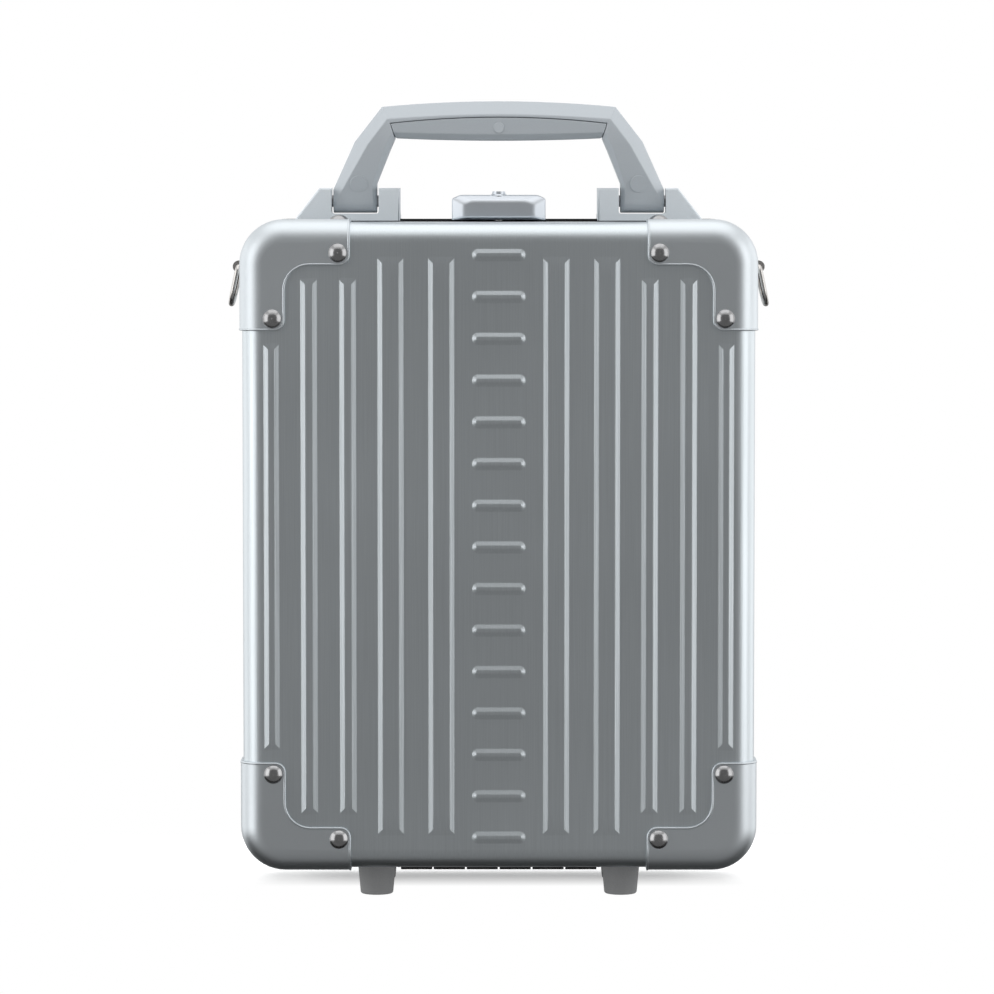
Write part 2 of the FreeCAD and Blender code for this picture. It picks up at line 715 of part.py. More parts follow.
def handle_stations():
    """Return the cross sections of the bow from its right leg to the middle.

    Each is outer x and rise, inner x and rise, half depth and share of the full bevel.
    """
    along = HANDLE_SHOULDER_INNER_SHARE
    waist_x = HANDLE_LEG_IN + (HANDLE_JUNCTION_X - HANDLE_LEG_IN) * along
    waist_rise = HANDLE_KNEE_INNER_RISE + (HANDLE_JUNCTION_RISE - HANDLE_KNEE_INNER_RISE) * along
    top_rise = HANDLE_CORNER_RISE + (HANDLE_TOP_RISE - HANDLE_CORNER_RISE) * HANDLE_ARC_SHARE
    under_rise = HANDLE_JUNCTION_RISE + (HANDLE_UNDER_RISE - HANDLE_JUNCTION_RISE) * HANDLE_ARC_SHARE
    corner = (HANDLE_CORNER_X, HANDLE_CORNER_RISE)
    quarter = (HANDLE_CORNER_X / 2, top_rise)
    knee = (HANDLE_LEG_OUT, HANDLE_KNEE_OUTER_RISE, HANDLE_LEG_IN, HANDLE_KNEE_INNER_RISE)
    return [
        (HANDLE_LEG_OUT, 0, HANDLE_LEG_IN, 0, HANDLE_LEG_HALF, HANDLE_ROOT_BEVEL_SHARE),
        (*knee, HANDLE_KNEE_HALF, HANDLE_KNEE_BEVEL_SHARE),
        (HANDLE_SHOULDER_X, HANDLE_SHOULDER_RISE, waist_x, waist_rise, HANDLE_GRIP_HALF, 1),
        (*corner, HANDLE_JUNCTION_X, HANDLE_JUNCTION_RISE, HANDLE_GRIP_HALF, 1),
        (*quarter, HANDLE_JUNCTION_X / 2, under_rise, HANDLE_GRIP_HALF, 1),
        (0, HANDLE_TOP_RISE, 0, HANDLE_UNDER_RISE, HANDLE_GRIP_HALF, 1),
    ]


def handle_section(side, station):
    """Return the eight-sided section of the bow at a station, on one side of the middle."""
    outer_x, outer_rise, inner_x, inner_rise, half, share = station
    outer = Vector(side * outer_x, 0, PIVOT_Z + outer_rise)
    inner = Vector(side * inner_x, 0, PIVOT_Z + inner_rise)
    inward = (inner - outer).normalize()
    flat = half - HANDLE_BEVEL_DEEP * share * half / HANDLE_GRIP_HALF
    crease = outer + inward * (HANDLE_BEVEL * share)
    edge = inner - inward * HANDLE_INNER_EDGE
    lower = half - HANDLE_INNER_EDGE
    rows = [(outer, flat), (crease, half), (edge, half), (inner, lower)]
    front = [point - AXES["Y"] * y for point, y in rows]
    back = [point + AXES["Y"] * y for point, y in reversed(rows)]
    return Part.makePolygon(front + back + front[:1])


def full_handle():
    """Return the bow and its grip insert as one solid with its pin bores."""
    right = handle_stations()
    sections = [handle_section(1, s) for s in right]
    sections += [handle_section(-1, s) for s in reversed(right[:-1])]
    bow = Part.makeLoft(sections, True, True)
    heel = rod("X", HANDLE_LEG_HALF, HANDLE_LEG_IN, HANDLE_LEG_OUT, 0, PIVOT_Z)
    far = HANDLE_LEG_OUT + OVERRUN
    bore = rod("X", HANDLE_PIN_RADIUS + RUNNING_FIT, HANDLE_LEG_IN - OVERRUN, far, 0, PIVOT_Z)
    return bow.multiFuse(pair(heel)).cut(Part.makeCompound(pair(bore)))


def grip_space(gap):
    """Return the space of the grip insert, drawn in by gap at its seam."""
    side = GRIP_SEAM_X - gap
    rise = PIVOT_Z + GRIP_SEAM_RISE - gap
    crown = PIVOT_Z + GRIP_SEAM_MIDDLE_RISE - gap
    end = GRIP_END_X - gap
    under = PIVOT_Z + HANDLE_UNDER_RISE - OVERRUN
    depth = HANDLE_GRIP_HALF + OVERRUN
    put = on_plane("Y", -depth)
    seam = Part.Arc(put(-side, rise), put(0, crown), put(side, rise)).toShape()
    corners = [put(side, rise), put(end, under), put(-end, under), put(-side, rise)]
    lines = [Part.LineSegment(a, b).toShape() for a, b in zip(corners, corners[1:])]
    return Part.Face(Part.Wire([seam] + lines)).extrude(AXES["Y"] * (2 * depth))


def plug_spaces(seam):
    """Return the rods of the round plugs in the front of the handle, widened by seam."""
    front = -HANDLE_GRIP_HALF - OVERRUN
    leg_floor = PLUG_DEPTH - HANDLE_KNEE_HALF
    legs = pair(rod("Y", PLUG_RADIUS + seam, front, leg_floor + seam, PLUG_X, PIVOT_Z + PLUG_RISE))
    grip_floor = PLUG_DEPTH - HANDLE_GRIP_HALF
    return legs + [rod("Y", GRIP_PLUG_RADIUS + seam, front, grip_floor + seam, 0, PIVOT_Z + GRIP_PLUG_RISE)]


def handle_pins():
    """Return the right pivot pin, held in both posts of its bracket."""
    low = slot_in() - BRACKET_PIN_BITE
    high = slot_out() + BRACKET_PIN_BITE
    return rod("X", HANDLE_PIN_RADIUS, low, high, 0, PIVOT_Z)


# Handle brackets

def slot_in():
    """Return the inner side of the bracket slot."""
    return HANDLE_LEG_IN - SLOT_SIDE_GAP


def slot_out():
    """Return the outer side of the bracket slot."""
    return HANDLE_LEG_OUT + SLOT_SIDE_GAP


def slot_floor():
    """Return the height of the slot's floor, just under the leg's round heel."""
    return PIVOT_Z - HANDLE_LEG_HALF - SLOT_FLOOR_GAP


def bracket_outline(top, top_out):
    """Return the front outline of the right bracket up to a height."""
    toe = [(BRACKET_IN, TOP_Z), (BRACKET_OUT, TOP_Z), (BRACKET_OUT, TOP_Z + BRACKET_TOE)]
    return toe + [(top_out, top), (BRACKET_IN, top)]


def bracket():
    """Return the right handle bracket, with its posts, rear foot, slot, pin bores and stepped underside."""
    top = TOP_Z + BRACKET_RISE
    toe = TOP_Z + BRACKET_TOE
    posts = prism("Y", -BRACKET_POST, BRACKET_POST, bracket_outline(top, BRACKET_TOP_OUT))
    ends = [e for e in posts.Edges if level_end(e) and max(v.Z for v in e.Vertexes) > toe - FIT]
    posts = posts.makeFillet(BRACKET_EDGE, ends)
    floor_share = (slot_floor() - toe) / (top - toe)
    floor_out = BRACKET_OUT + (BRACKET_TOP_OUT - BRACKET_OUT) * floor_share
    rear_foot = prism("Y", 0, BRACKET_REAR, bracket_outline(slot_floor(), floor_out))
    far = OVERRUN + BRACKET_REAR
    opening = rectangle(slot_in(), slot_out(), slot_floor(), top + OVERRUN)
    slot = prism("Y", -far, far, opening, [SLOT_CORNER, SLOT_CORNER, 0, 0])
    over_lid = block(0, HALF_WIDTH, -far, 0, TOP_Z - OVERRUN, TOP_Z + SEAM_GAP)
    over_band = block(0, HALF_WIDTH, -SEAM_GAP, BAND_DEPTH + FIT, TOP_Z - OVERRUN, TOP_Z + BAND_PROUD + FIT)
    low = slot_in() - BRACKET_PIN_BITE
    high = slot_out() + BRACKET_PIN_BITE
    bore = rod("X", HANDLE_PIN_RADIUS + FIT, low, high, 0, PIVOT_Z)
    body = joined([posts, rear_foot]).cut(slot).cut(over_lid).cut(over_band)
    return body.cut(Part.makeCompound([bore] + bracket_screw_holes()))


def level_end(edge):
    """Say whether an edge lies in the bracket's front or rear face."""
    depths = [v.Y for v in edge.Vertexes]
    return max(depths) - min(depths) < FIT


def bracket_screw_seats():
    """Return the head tops of the right bracket's screws, in the slot floor."""
    width = slot_out() - slot_in()
    return [Vector(slot_in() + width * s, BRACKET_SCREW_Y, slot_floor()) for s in BRACKET_SCREW_SHARES]


def bracket_screw_reach():
    """Return the length of a bracket screw, from the slot floor to the far side of the backing plate."""
    return slot_floor() - TOP_Z + SHEET + BACKING_SHEET


def bracket_screws():
    """Return the right bracket's two screws."""
    sizes = (BRACKET_SCREW_HEAD, BRACKET_SCREW_HEAD_HEIGHT, BRACKET_SCREW_SHANK, bracket_screw_reach())
    return [aimed(screw(*sizes), seat, AXES["Z"]) for seat in bracket_screw_seats()]


def bracket_screw_holes():
    """Return the stepped holes for the right bracket's screws."""
    wide = rod("Z", BRACKET_SCREW_HEAD + FIT, -BRACKET_SCREW_HEAD_HEIGHT, OVERRUN, 0, 0)
    thin = hole(BRACKET_SCREW_SHANK, bracket_screw_reach())
    one = joined([wide, thin])
    return [aimed(one, seat, AXES["Z"]) for seat in bracket_screw_seats()]


def backing_plate():
    """Return the plate inside the rear shell that the right bracket's screws pull on."""
    low = BRACKET_IN + BACKING_MARGIN
    high = BRACKET_OUT - BACKING_MARGIN
    near = REAR_FLANGE_REACH + CLEARANCE
    plan = rectangle(low, high, near, BRACKET_REAR)
    plate = prism("Z", TOP_Z - SHEET - BACKING_SHEET, TOP_Z - SHEET, plan)
    return plate.cut(Part.makeCompound(bracket_screw_holes()))


# Latch

def lever_outline(side_in, top_in, bottom_in):
    """Return the six corners of the latch block's front outline, drawn in on each side."""
    side = LEVER_HALF_WIDTH - side_in
    low = TOP_Z + LEVER_LIFT + bottom_in
    high = TOP_Z + LEVER_RISE - top_in
    half = [(side, low), (side, high - LEVER_CORNER_Z), (side - LEVER_CORNER_X, high)]
    return half + [(-x, z) for x, z in reversed(half)]


def lever():
    """Return the hollow latch block, with its nose, its heel and the guide of the lock plunger."""
    shoulder = -LEVER_FRONT + LEVER_NOSE
    nose_face = lever_outline(LEVER_SIDE_BEVEL, LEVER_TOP_BEVEL, LEVER_BOTTOM_BEVEL)
    nose = tapered("Y", -LEVER_FRONT, shoulder, nose_face, lever_outline(0, 0, 0))
    trunk = prism("Y", shoulder, LEVER_REAR, lever_outline(0, 0, 0))
    step = TOP_Z + BAND_PROUD + LEVER_LIFT
    top = TOP_Z + LEVER_RISE
    slope = LEVER_REAR_SLOPE
    side = [(shoulder, TOP_Z), (-LEVER_STEP_Y, TOP_Z), (-LEVER_STEP_Y, step), (LEVER_PIVOT_Y, step)]
    side += [(LEVER_PIVOT_Y, LEVER_PIVOT_Z), (LEVER_REAR, LEVER_PIVOT_Z), (LEVER_REAR, top - slope)]
    side += [(LEVER_REAR - slope, top), (shoulder, top)]
    wide = LEVER_HALF_WIDTH + OVERRUN
    trunk = trunk.common(prism("X", -wide, wide, side))
    heel = rod("X", LEVER_HEEL_RADIUS, -LEVER_HALF_WIDTH, LEVER_HALF_WIDTH, LEVER_PIVOT_Y, LEVER_PIVOT_Z)
    inside = LEVER_HALF_WIDTH - LEVER_WALL
    back = LEVER_PIVOT_Y + LATCH_EAR_RADIUS + CLEARANCE
    cavity = block(-inside, inside, -LEVER_CAVITY_FRONT, back, TOP_Z, top - LEVER_WALL)
    heel_room = block(-inside, inside, LEVER_PIVOT_Y, LEVER_REAR + OVERRUN, TOP_Z, LEVER_PIVOT_Z)
    cover = joined([nose, trunk, heel]).cut(cavity).cut(heel_room)
    guide = rod("Z", PLUNGER_RADIUS + GUIDE_WALL, TOP_Z + GUIDE_RISE, top - LEVER_WALL, 0, -PLUNGER_Y)
    fairing = aimed(dome(FAIRING_RADIUS, FAIRING_HEIGHT), Vector(0, -PLUNGER_Y, top), AXES["Z"])
    bore = rod("Z", PLUNGER_RADIUS + RUNNING_FIT, TOP_Z, top + OVERRUN, 0, -PLUNGER_Y)
    pin_bore = rod("X", LEVER_PIN_RADIUS + RUNNING_FIT, -wide, wide, LEVER_PIVOT_Y, LEVER_PIVOT_Z)
    return joined([cover, guide, fairing]).cut(bore).cut(pin_bore)


def plunger():
    """Return the lock plunger: dome with a keyway, body and stem."""
    top = TOP_Z + LEVER_RISE + FAIRING_HEIGHT
    shoulder = TOP_Z + PLUNGER_SHOULDER_RISE
    body = rod("Z", PLUNGER_RADIUS, shoulder, top, 0, -PLUNGER_Y)
    crown = aimed(dome(PLUNGER_RADIUS, PLUNGER_DOME), Vector(0, -PLUNGER_Y, top), AXES["Z"])
    stem = rod("Z", PLUNGER_STEM_RADIUS, TOP_Z + PLUNGER_TIP_RISE, shoulder, 0, -PLUNGER_Y)
    half = PLUNGER_KEYWAY_LENGTH / 2
    thin = PLUNGER_KEYWAY_WIDTH / 2
    floor = top + PLUNGER_DOME - PLUNGER_KEYWAY_DEPTH
    keyway = block(-half, half, -PLUNGER_Y - thin, -PLUNGER_Y + thin, floor, top + OVERRUN)
    return joined([body, crown, stem]).cut(keyway)


def latch_base():
    """Return the base plate with the two ears that carry the lever pin."""
    near = BAND_DEPTH + CLEARANCE
    plan = rectangle(-LATCH_BASE_HALF_WIDTH, LATCH_BASE_HALF_WIDTH, near, LATCH_BASE_REAR)
    plate = prism("Z", TOP_Z, TOP_Z + LATCH_BASE_SHEET, plan, KEEPER_CORNER)
    ear_out = LATCH_EAR_IN + LATCH_EAR_THICKNESS
    post_near = LEVER_PIVOT_Y - LATCH_EAR_RADIUS
    post_far = LEVER_PIVOT_Y + LATCH_EAR_RADIUS * LATCH_POST_SHARE
    post = block(LATCH_EAR_IN, ear_out, post_near, post_far, TOP_Z, LEVER_PIVOT_Z)
    eye = rod("X", LATCH_EAR_RADIUS, LATCH_EAR_IN, ear_out, LEVER_PIVOT_Y, LEVER_PIVOT_Z)
    far = LEVER_HALF_WIDTH
    bore = rod("X", LEVER_PIN_RADIUS + FIT, -far, far, LEVER_PIVOT_Y, LEVER_PIVOT_Z)
    body = joined([plate] + pair(post) + pair(eye))
    return body.cut(bore).cut(Part.makeCompound(latch_rivet_parts(latch_rivet_hole())))


def lever_pin():
    """Return the pin that the latch block turns on."""
    half = LEVER_HALF_WIDTH - LEVER_PIN_INSET
    return rod("X", LEVER_PIN_RADIUS, -half, half, LEVER_PIVOT_Y, LEVER_PIVOT_Z)


def latch_rivet_hole():
    """Return the hole for one latch base rivet."""
    return hole(LATCH_RIVET_SHANK, LATCH_BASE_SHEET + SHEET)


def latch_rivet_parts(one):
    """Return one shape repeated at the two rivet places of the latch base."""
    seat = Vector(LATCH_RIVET_X, LATCH_RIVET_Y, TOP_Z + LATCH_BASE_SHEET)
    return pair(aimed(one, seat, AXES["Z"]))


def latch_rivets():
    """Return the rivets of the latch base."""
    sizes = (LATCH_RIVET_HEAD, LATCH_RIVET_DOME, LATCH_RIVET_SHANK, LATCH_RIVET_TAIL, LATCH_RIVET_UPSET)
    return latch_rivet_parts(rivet(*sizes, LATCH_BASE_SHEET + SHEET))


def keeper_bore():
    """Return the hole in the lid and its keeper that the lock plunger drops into."""
    radius = PLUNGER_STEM_RADIUS + KEEPER_BORE_GAP
    return rod("Z", radius, TOP_Z - SHEET - KEEPER_SHEET - OVERRUN, TOP_Z + OVERRUN, 0, -PLUNGER_Y)


def keeper_rivet():
    """Return one flush rivet of the keeper plate."""
    low = TOP_Z - SHEET - KEEPER_SHEET
    return rod("Z", LATCH_RIVET_SHANK, low, TOP_Z, KEEPER_RIVET_X, -PLUNGER_Y)


def keeper_rivet_hole():
    """Return the hole for one flush rivet of the keeper plate."""
    low = TOP_Z - SHEET - KEEPER_SHEET - OVERRUN
    return rod("Z", LATCH_RIVET_SHANK + FIT, low, TOP_Z + OVERRUN, KEEPER_RIVET_X, -PLUNGER_Y)


def keeper_plate():
    """Return the plate under the lid's top that the lock plunger holds."""
    low = -PLUNGER_Y - KEEPER_HALF_DEPTH
    high = -PLUNGER_Y + KEEPER_HALF_DEPTH
    plan = rectangle(-KEEPER_HALF_WIDTH, KEEPER_HALF_WIDTH, low, high)
    plate = prism("Z", TOP_Z - SHEET - KEEPER_SHEET, TOP_Z - SHEET, plan, KEEPER_CORNER)
    return plate.cut(Part.makeCompound([keeper_bore()] + pair(keeper_rivet_hole())))


# Strap rings

def ring():
    """Return the right strap ring, a closed wire loop that leans out from the side."""
    y_low = RING_Y - RING_HALF_WIDTH
    y_high = RING_Y + RING_HALF_WIDTH
    corners = rectangle(y_low, y_high, RING_PIVOT_Z - RING_LENGTH, RING_PIVOT_Z)
    radii = [RING_BOTTOM_RADIUS, RING_BOTTOM_RADIUS, RING_TOP_RADIUS, RING_TOP_RADIUS]
    path = outline("X", RING_PIVOT_X, corners, radii)
    start = path.OrderedEdges[0]
    first = start.firstVertex(True).Point
    tangent = start.tangentAt(start.FirstParameter)
    section = Part.Wire(Part.makeCircle(RING_WIRE_RADIUS, first, tangent))
    loop = path.makePipeShell([section], True, True)
    axis_point = Vector(RING_PIVOT_X, RING_Y, RING_PIVOT_Z)
    return loop.rotate(axis_point, AXES["Y"], -RING_LEAN_DEG)


def ring_bracket():
    """Return the right ring bracket: its plate on the shell and the loop round the ring's bar."""
    low = RING_Y - RING_LOOP_HALF
    high = RING_Y + RING_LOOP_HALF
    radius = RING_WIRE_RADIUS + RUNNING_FIT + RING_LOOP_WALL
    plan = rectangle(low, high, RING_PIVOT_Z - RING_PLATE_DOWN, RING_PIVOT_Z + radius)
    plate_out = HALF_WIDTH + RING_PLATE_SHEET
    plate = prism("X", HALF_WIDTH, plate_out, plan, [RING_PLATE_CORNER, RING_PLATE_CORNER, 0, 0])
    loop = rod("Y", radius, low, high, RING_PIVOT_X, RING_PIVOT_Z)
    neck = block(HALF_WIDTH, RING_PIVOT_X, low, high, RING_PIVOT_Z, RING_PIVOT_Z + radius)
    bore = rod("Y", RING_WIRE_RADIUS + RUNNING_FIT, low - OVERRUN, high + OVERRUN, RING_PIVOT_X, RING_PIVOT_Z)
    body = joined([plate, loop, neck]).cut(bore)
    return body.cut(aimed(ring_rivet_hole(), ring_rivet_seat(), AXES["X"]))


def ring_rivet_seat():
    """Return the place of the right ring bracket's rivet head."""
    return Vector(HALF_WIDTH + RING_PLATE_SHEET, RING_Y, RING_PIVOT_Z - RING_RIVET_DOWN)


def ring_rivet_hole():
    """Return the hole for a ring bracket's rivet."""
    return hole(RING_RIVET_SHANK, RING_PLATE_SHEET + SHEET)


def ring_rivet():
    """Return the right ring bracket's rivet."""
    sizes = (RING_RIVET_HEAD, RING_RIVET_DOME, RING_RIVET_SHANK, RING_RIVET_TAIL, RING_RIVET_UPSET)
    return aimed(rivet(*sizes, RING_PLATE_SHEET + SHEET), ring_rivet_seat(), AXES["X"])


# Inside of the case

def lining(inset, rim):
    """Return the lining of one half, a soft tray open at its rim."""
    outer = dish(inset, rim, FLOOR_Y, LINING_EDGE_RADIUS)
    inner_edge = LINING_EDGE_RADIUS - LINING_SHEET
    inner = dish(inset + LINING_SHEET, rim - OVERRUN, FLOOR_Y - LINING_SHEET, inner_edge)
    return outer.cut(inner)


def lid_lining_inset():
    """Return how far the lid's lining is drawn in, clear of the lid frame."""
    return LID_FRAME_INSET + LID_FRAME_THICKNESS + CLEARANCE


def panel_bounds():
    """Return the half width and half height of the organiser panel."""
    margin = lid_lining_inset() + LINING_SHEET + PANEL_MARGIN
    return HALF_WIDTH - margin, HALF_HEIGHT - margin


def organiser_panel():
    """Return the stiff fabric panel on the lid's floor."""
    side, tall = panel_bounds()
    plan = rectangle(-side, side, MID_Z - tall, MID_Z + tall)
    high = FLOOR_Y - LINING_SHEET
    return prism("Y", high - PANEL_SHEET, high, plan, PANEL_CORNER)


def pocket(low, high, z_low, z_high):
    """Return one flat pocket on the organiser panel."""
    face = FLOOR_Y - LINING_SHEET - PANEL_SHEET
    return prism("Y", face - POCKET_SHEET, face, rectangle(low, high, z_low, z_high), POCKET_CORNER)


def document_pocket():
    """Return the wide pocket in the lower part of the panel."""
    side, tall = panel_bounds()
    low = MID_Z - tall + POCKET_MARGIN
    return pocket(-side + POCKET_MARGIN, side - POCKET_MARGIN, low, low + 2 * tall * DOCUMENT_POCKET_SHARE)


def card_pocket():
    """Return the right card pocket above the document pocket."""
    side, tall = panel_bounds()
    high = MID_Z + tall - POCKET_MARGIN
    low = high - 2 * tall * CARD_POCKET_SHARE
    far = side - POCKET_MARGIN
    near = PEN_LOOP_PITCH * (PEN_LOOP_COUNT - 1) / 2 + PEN_LOOP_RADIUS + CARD_PEN_GAP
    return pocket(near, far, low, high)


def pen_loops():
    """Return the elastic pen loops between the card pockets."""
    face = FLOOR_Y - LINING_SHEET - PANEL_SHEET
    tall = panel_bounds()[1]
    high = MID_Z + tall - POCKET_MARGIN - PEN_LOOP_LENGTH
    low = high - PEN_LOOP_LENGTH
    loops = []
    for i in range(PEN_LOOP_COUNT):
        x = PEN_LOOP_PITCH * (i - (PEN_LOOP_COUNT - 1) / 2)
        centre = face - PEN_LOOP_RADIUS
        tube = rod("Z", PEN_LOOP_RADIUS, low, high, x, centre)
        hollow = rod("Z", PEN_LOOP_RADIUS - PEN_LOOP_WALL, low - OVERRUN, high + OVERRUN, x, centre)
        loops.append(tube.cut(hollow))
    return loops


def strap():
    """Return the right half of the packing strap on the rear lining."""
    side = HALF_WIDTH - TONGUE_INSET - CLEARANCE - LINING_SHEET - LINING_EDGE_RADIUS
    rise = MID_Z + CASE_HEIGHT * STRAP_RISE_SHARE
    half = STRAP_WIDTH / 2
    near = BUCKLE_LENGTH / 2
    face = FLOOR_Y - LINING_SHEET
    return block(near, side, face - STRAP_SHEET, face, rise - half, rise + half)


def buckle():
    """Return the buckle in the middle of the packing strap."""
    rise = MID_Z + CASE_HEIGHT * STRAP_RISE_SHARE
    half = BUCKLE_LENGTH / 2
    wide = BUCKLE_WIDTH / 2
    face = FLOOR_Y - LINING_SHEET
    plan = rectangle(-half, half, rise - wide, rise + wide)
    return prism("Y", face - BUCKLE_SHEET, face, plan, BUCKLE_CORNER)


# Assembly

def save(node, shapes):
    """Write one node, checking that each of its solids is sound."""
    if not isinstance(shapes, list):
        shapes = [shapes]
    solids = [solid for shape in shapes for solid in shape.Solids]
    for solid in solids:
        if not solid.isValid() or solid.Volume <= 0:
            raise ValueError(f"{node} holds an unsound solid")
    whole = solids[0] if len(solids) == 1 else Part.makeCompound(solids)
    whole.exportStep(f"parts/{node}.step")
    print(f"{node}: {len(solids)} solids, {sum(s.Volume for s in solids):.0f} mm3")


def save_sides(stem, right):
    """Write a right-hand node and its left-hand twin."""
    save(f"{stem}_right", right)
    save(f"{stem}_left", to_left(right))


def save_caps(half, place):
    """Write the four corner caps of one half."""
    seats = cap_face_seats()
    save_sides(f"{half}_cap_top", place(corner_cap(seats + [cap_edge_seat()])))
    save_sides(f"{half}_cap_bottom", place(to_bottom(corner_cap(seats))))


def save_shells():
    """Write both shells with the holes of all that is fastened to them."""
    feet = pair(foot_hole())
    hinge = hinge_rivet_parts(leaf_rivet_hole())
    ring_hole = aimed(ring_rivet_hole(), ring_rivet_seat(), AXES["X"])
    common = cap_rivet_holes() + feet + hinge
    brackets = [twin for one in bracket_screw_holes() for twin in pair(one)]
    rear = brackets + pair(ring_hole) + latch_rivet_parts(latch_rivet_hole())
    keeper = [to_front(one) for one in [keeper_bore()] + pair(keeper_rivet_hole())]
    save("rear_shell", shell(BAND_DEPTH, common + rear))
    save("front_shell", to_front(shell(SEAM_GAP, common + keeper)))


def save_half_fittings():
    """Write what both halves carry alike."""
    for half, place, own in (("rear", lambda s: s, 0), ("front", to_front, 1)):
        save_caps(half, place)
        save(f"{half}_cap_rivets", [place(one) for one in cap_rivets()])
        save_sides(f"{half}_foot", place(foot()))
        save(f"{half}_foot_screws", [place(one) for one in pair(foot_screw())])
        save(f"{half}_hinge_leaf", place(hinge_leaf(own)))
        save(f"{half}_hinge_rivets", [place(one) for one in hinge_rivets()])


def save_frame():
    """Write the frame rails, the seal and the hinge pin."""
    save("rear_frame", rear_frame())
    save("rim_seal", rim_seal())
    save("front_frame", lid_frame())
    save("hinge_pin", hinge_pin())


def save_handle():
    """Write the handle, its brackets and what fastens them."""
    whole = full_handle()
    holes = Part.makeCompound(plug_spaces(PLUG_SEAM))
    save("handle_bow", whole.cut(grip_space(0)).cut(holes))
    save("handle_grip", whole.common(grip_space(GRIP_SEAM)).cut(holes))
    save("handle_plugs", [whole.common(one) for one in plug_spaces(0)])
    save("handle_pins", pair(handle_pins()))
    save_sides("handle_bracket", bracket())
    save("bracket_screws", [twin for one in bracket_screws() for twin in pair(one)])
    save("bracket_backing_plates", pair(backing_plate()))


def save_latch():
    """Write the latch and its keeper."""
    save("latch_lever", lever())
    save("lock_plunger", plunger())
    save("latch_base", latch_base())
    save("latch_base_rivets", latch_rivets())
    save("lever_pin", lever_pin())
    save("keeper_plate", keeper_plate())
    save("keeper_rivets", pair(keeper_rivet()))


def save_rings():
    """Write the strap rings and their brackets."""
    save_sides("strap_ring", ring())
    save_sides("ring_bracket", ring_bracket())
    save("ring_rivets", pair(ring_rivet()))


def save_inside():
    """Write the linings and the fittings inside."""
    save("rear_lining", lining(TONGUE_INSET + CLEARANCE, BAND_DEPTH + CLEARANCE))
    save("front_lining", to_front(lining(lid_lining_inset(), LID_FRAME_REACH)))
    save("organiser_panel", to_front(organiser_panel()))
    save("document_pocket", to_front(document_pocket()))
    save_sides("card_pocket", to_front(card_pocket()))
    save("pen_loops", [to_front(one) for one in pen_loops()])
    save_sides("packing_strap", strap())
    save("strap_buckle", buckle())


os.makedirs("parts", exist_ok=True)
save_shells()
save_half_fittings()
save_frame()
save_handle()
save_latch()
save_rings()
save_inside()
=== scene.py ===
"""Portrait aluminium business case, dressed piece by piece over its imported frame."""

import json
import logging
import math
from collections.abc import Callable, Iterable
from dataclasses import dataclass
from enum import Enum

import bmesh
import bpy
from mathutils import Matrix, Vector

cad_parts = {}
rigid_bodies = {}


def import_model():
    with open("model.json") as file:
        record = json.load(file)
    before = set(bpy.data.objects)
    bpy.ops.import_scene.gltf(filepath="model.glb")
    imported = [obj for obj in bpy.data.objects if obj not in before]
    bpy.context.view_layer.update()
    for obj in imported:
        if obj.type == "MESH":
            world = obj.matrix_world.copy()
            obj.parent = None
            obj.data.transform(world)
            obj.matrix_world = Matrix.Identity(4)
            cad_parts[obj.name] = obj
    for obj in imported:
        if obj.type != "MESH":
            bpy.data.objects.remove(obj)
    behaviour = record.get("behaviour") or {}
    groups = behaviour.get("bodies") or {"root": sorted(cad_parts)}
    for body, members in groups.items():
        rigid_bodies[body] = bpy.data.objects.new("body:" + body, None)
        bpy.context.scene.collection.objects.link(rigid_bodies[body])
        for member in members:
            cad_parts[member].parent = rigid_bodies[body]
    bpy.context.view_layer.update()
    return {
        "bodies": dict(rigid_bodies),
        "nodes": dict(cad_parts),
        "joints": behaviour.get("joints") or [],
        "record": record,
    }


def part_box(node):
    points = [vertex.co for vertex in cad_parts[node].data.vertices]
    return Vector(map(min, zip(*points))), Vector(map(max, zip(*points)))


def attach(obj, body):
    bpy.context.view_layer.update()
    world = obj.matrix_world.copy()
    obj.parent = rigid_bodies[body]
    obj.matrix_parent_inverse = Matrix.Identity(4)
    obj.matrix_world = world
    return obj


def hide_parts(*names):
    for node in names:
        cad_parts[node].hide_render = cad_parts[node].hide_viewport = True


LOG = logging.getLogger("business_case")
SAME = 1e-6
SHARP_ANGLE = math.radians(38.0)
CREASE_DEGREES = 22.0
MOULDING_DEGREES = 30.0
CLOTH_DEGREES = 50.0
RIM_DEGREES = 60.0
FLAT_DEGREES = 0.6
SOFT_STEPS = 3
CLOTH_STEPS = 2
CLOTH_ROUND_SHARE = 0.35
SEWN_SHARE = 0.25
HOLE_SIDES = 32
FACING = 0.5
UNIT = (0.0, 1.0)
Colour = tuple[float, float, float, float]
Points = list[tuple[float, float, float]]
Mesh = bmesh.types.BMesh
Face = bmesh.types.BMFace
Edge = bmesh.types.BMEdge
Piece = bpy.types.Object
Socket = bpy.types.NodeSocket
WHITE: Colour = (1.0, 1.0, 1.0, 1.0)
BLACK: Colour = (0.0, 0.0, 0.0, 1.0)


class Axis(Enum):
    """The three axes of the frame."""

    X = 0
    Y = 1
    Z = 2

    @property
    def way(self) -> Vector:
        """Return the axis's direction."""
        return Vector([float(axis is self) for axis in Axis])


class Place(Enum):
    """A choice of place, whose name is a word of node names too."""

    @property
    def word(self) -> str:
        """Return the choice as node names write it."""
        return self.name.lower()


class Half(Place):
    """The two halves of the case, valued by the side of the parting plane that they lie on."""

    FRONT = -1
    REAR = 1

    @property
    def body(self) -> str:
        """Return the body that the half's pieces ride on."""
        return "lid" if self is Half.FRONT else "rear_case"


class Side(Place):
    """Left and right, valued by their sign along X."""

    LEFT = -1
    RIGHT = 1


class Level(Place):
    """Bottom and top, valued by their sign along Z."""

    BOTTOM = -1
    TOP = 1


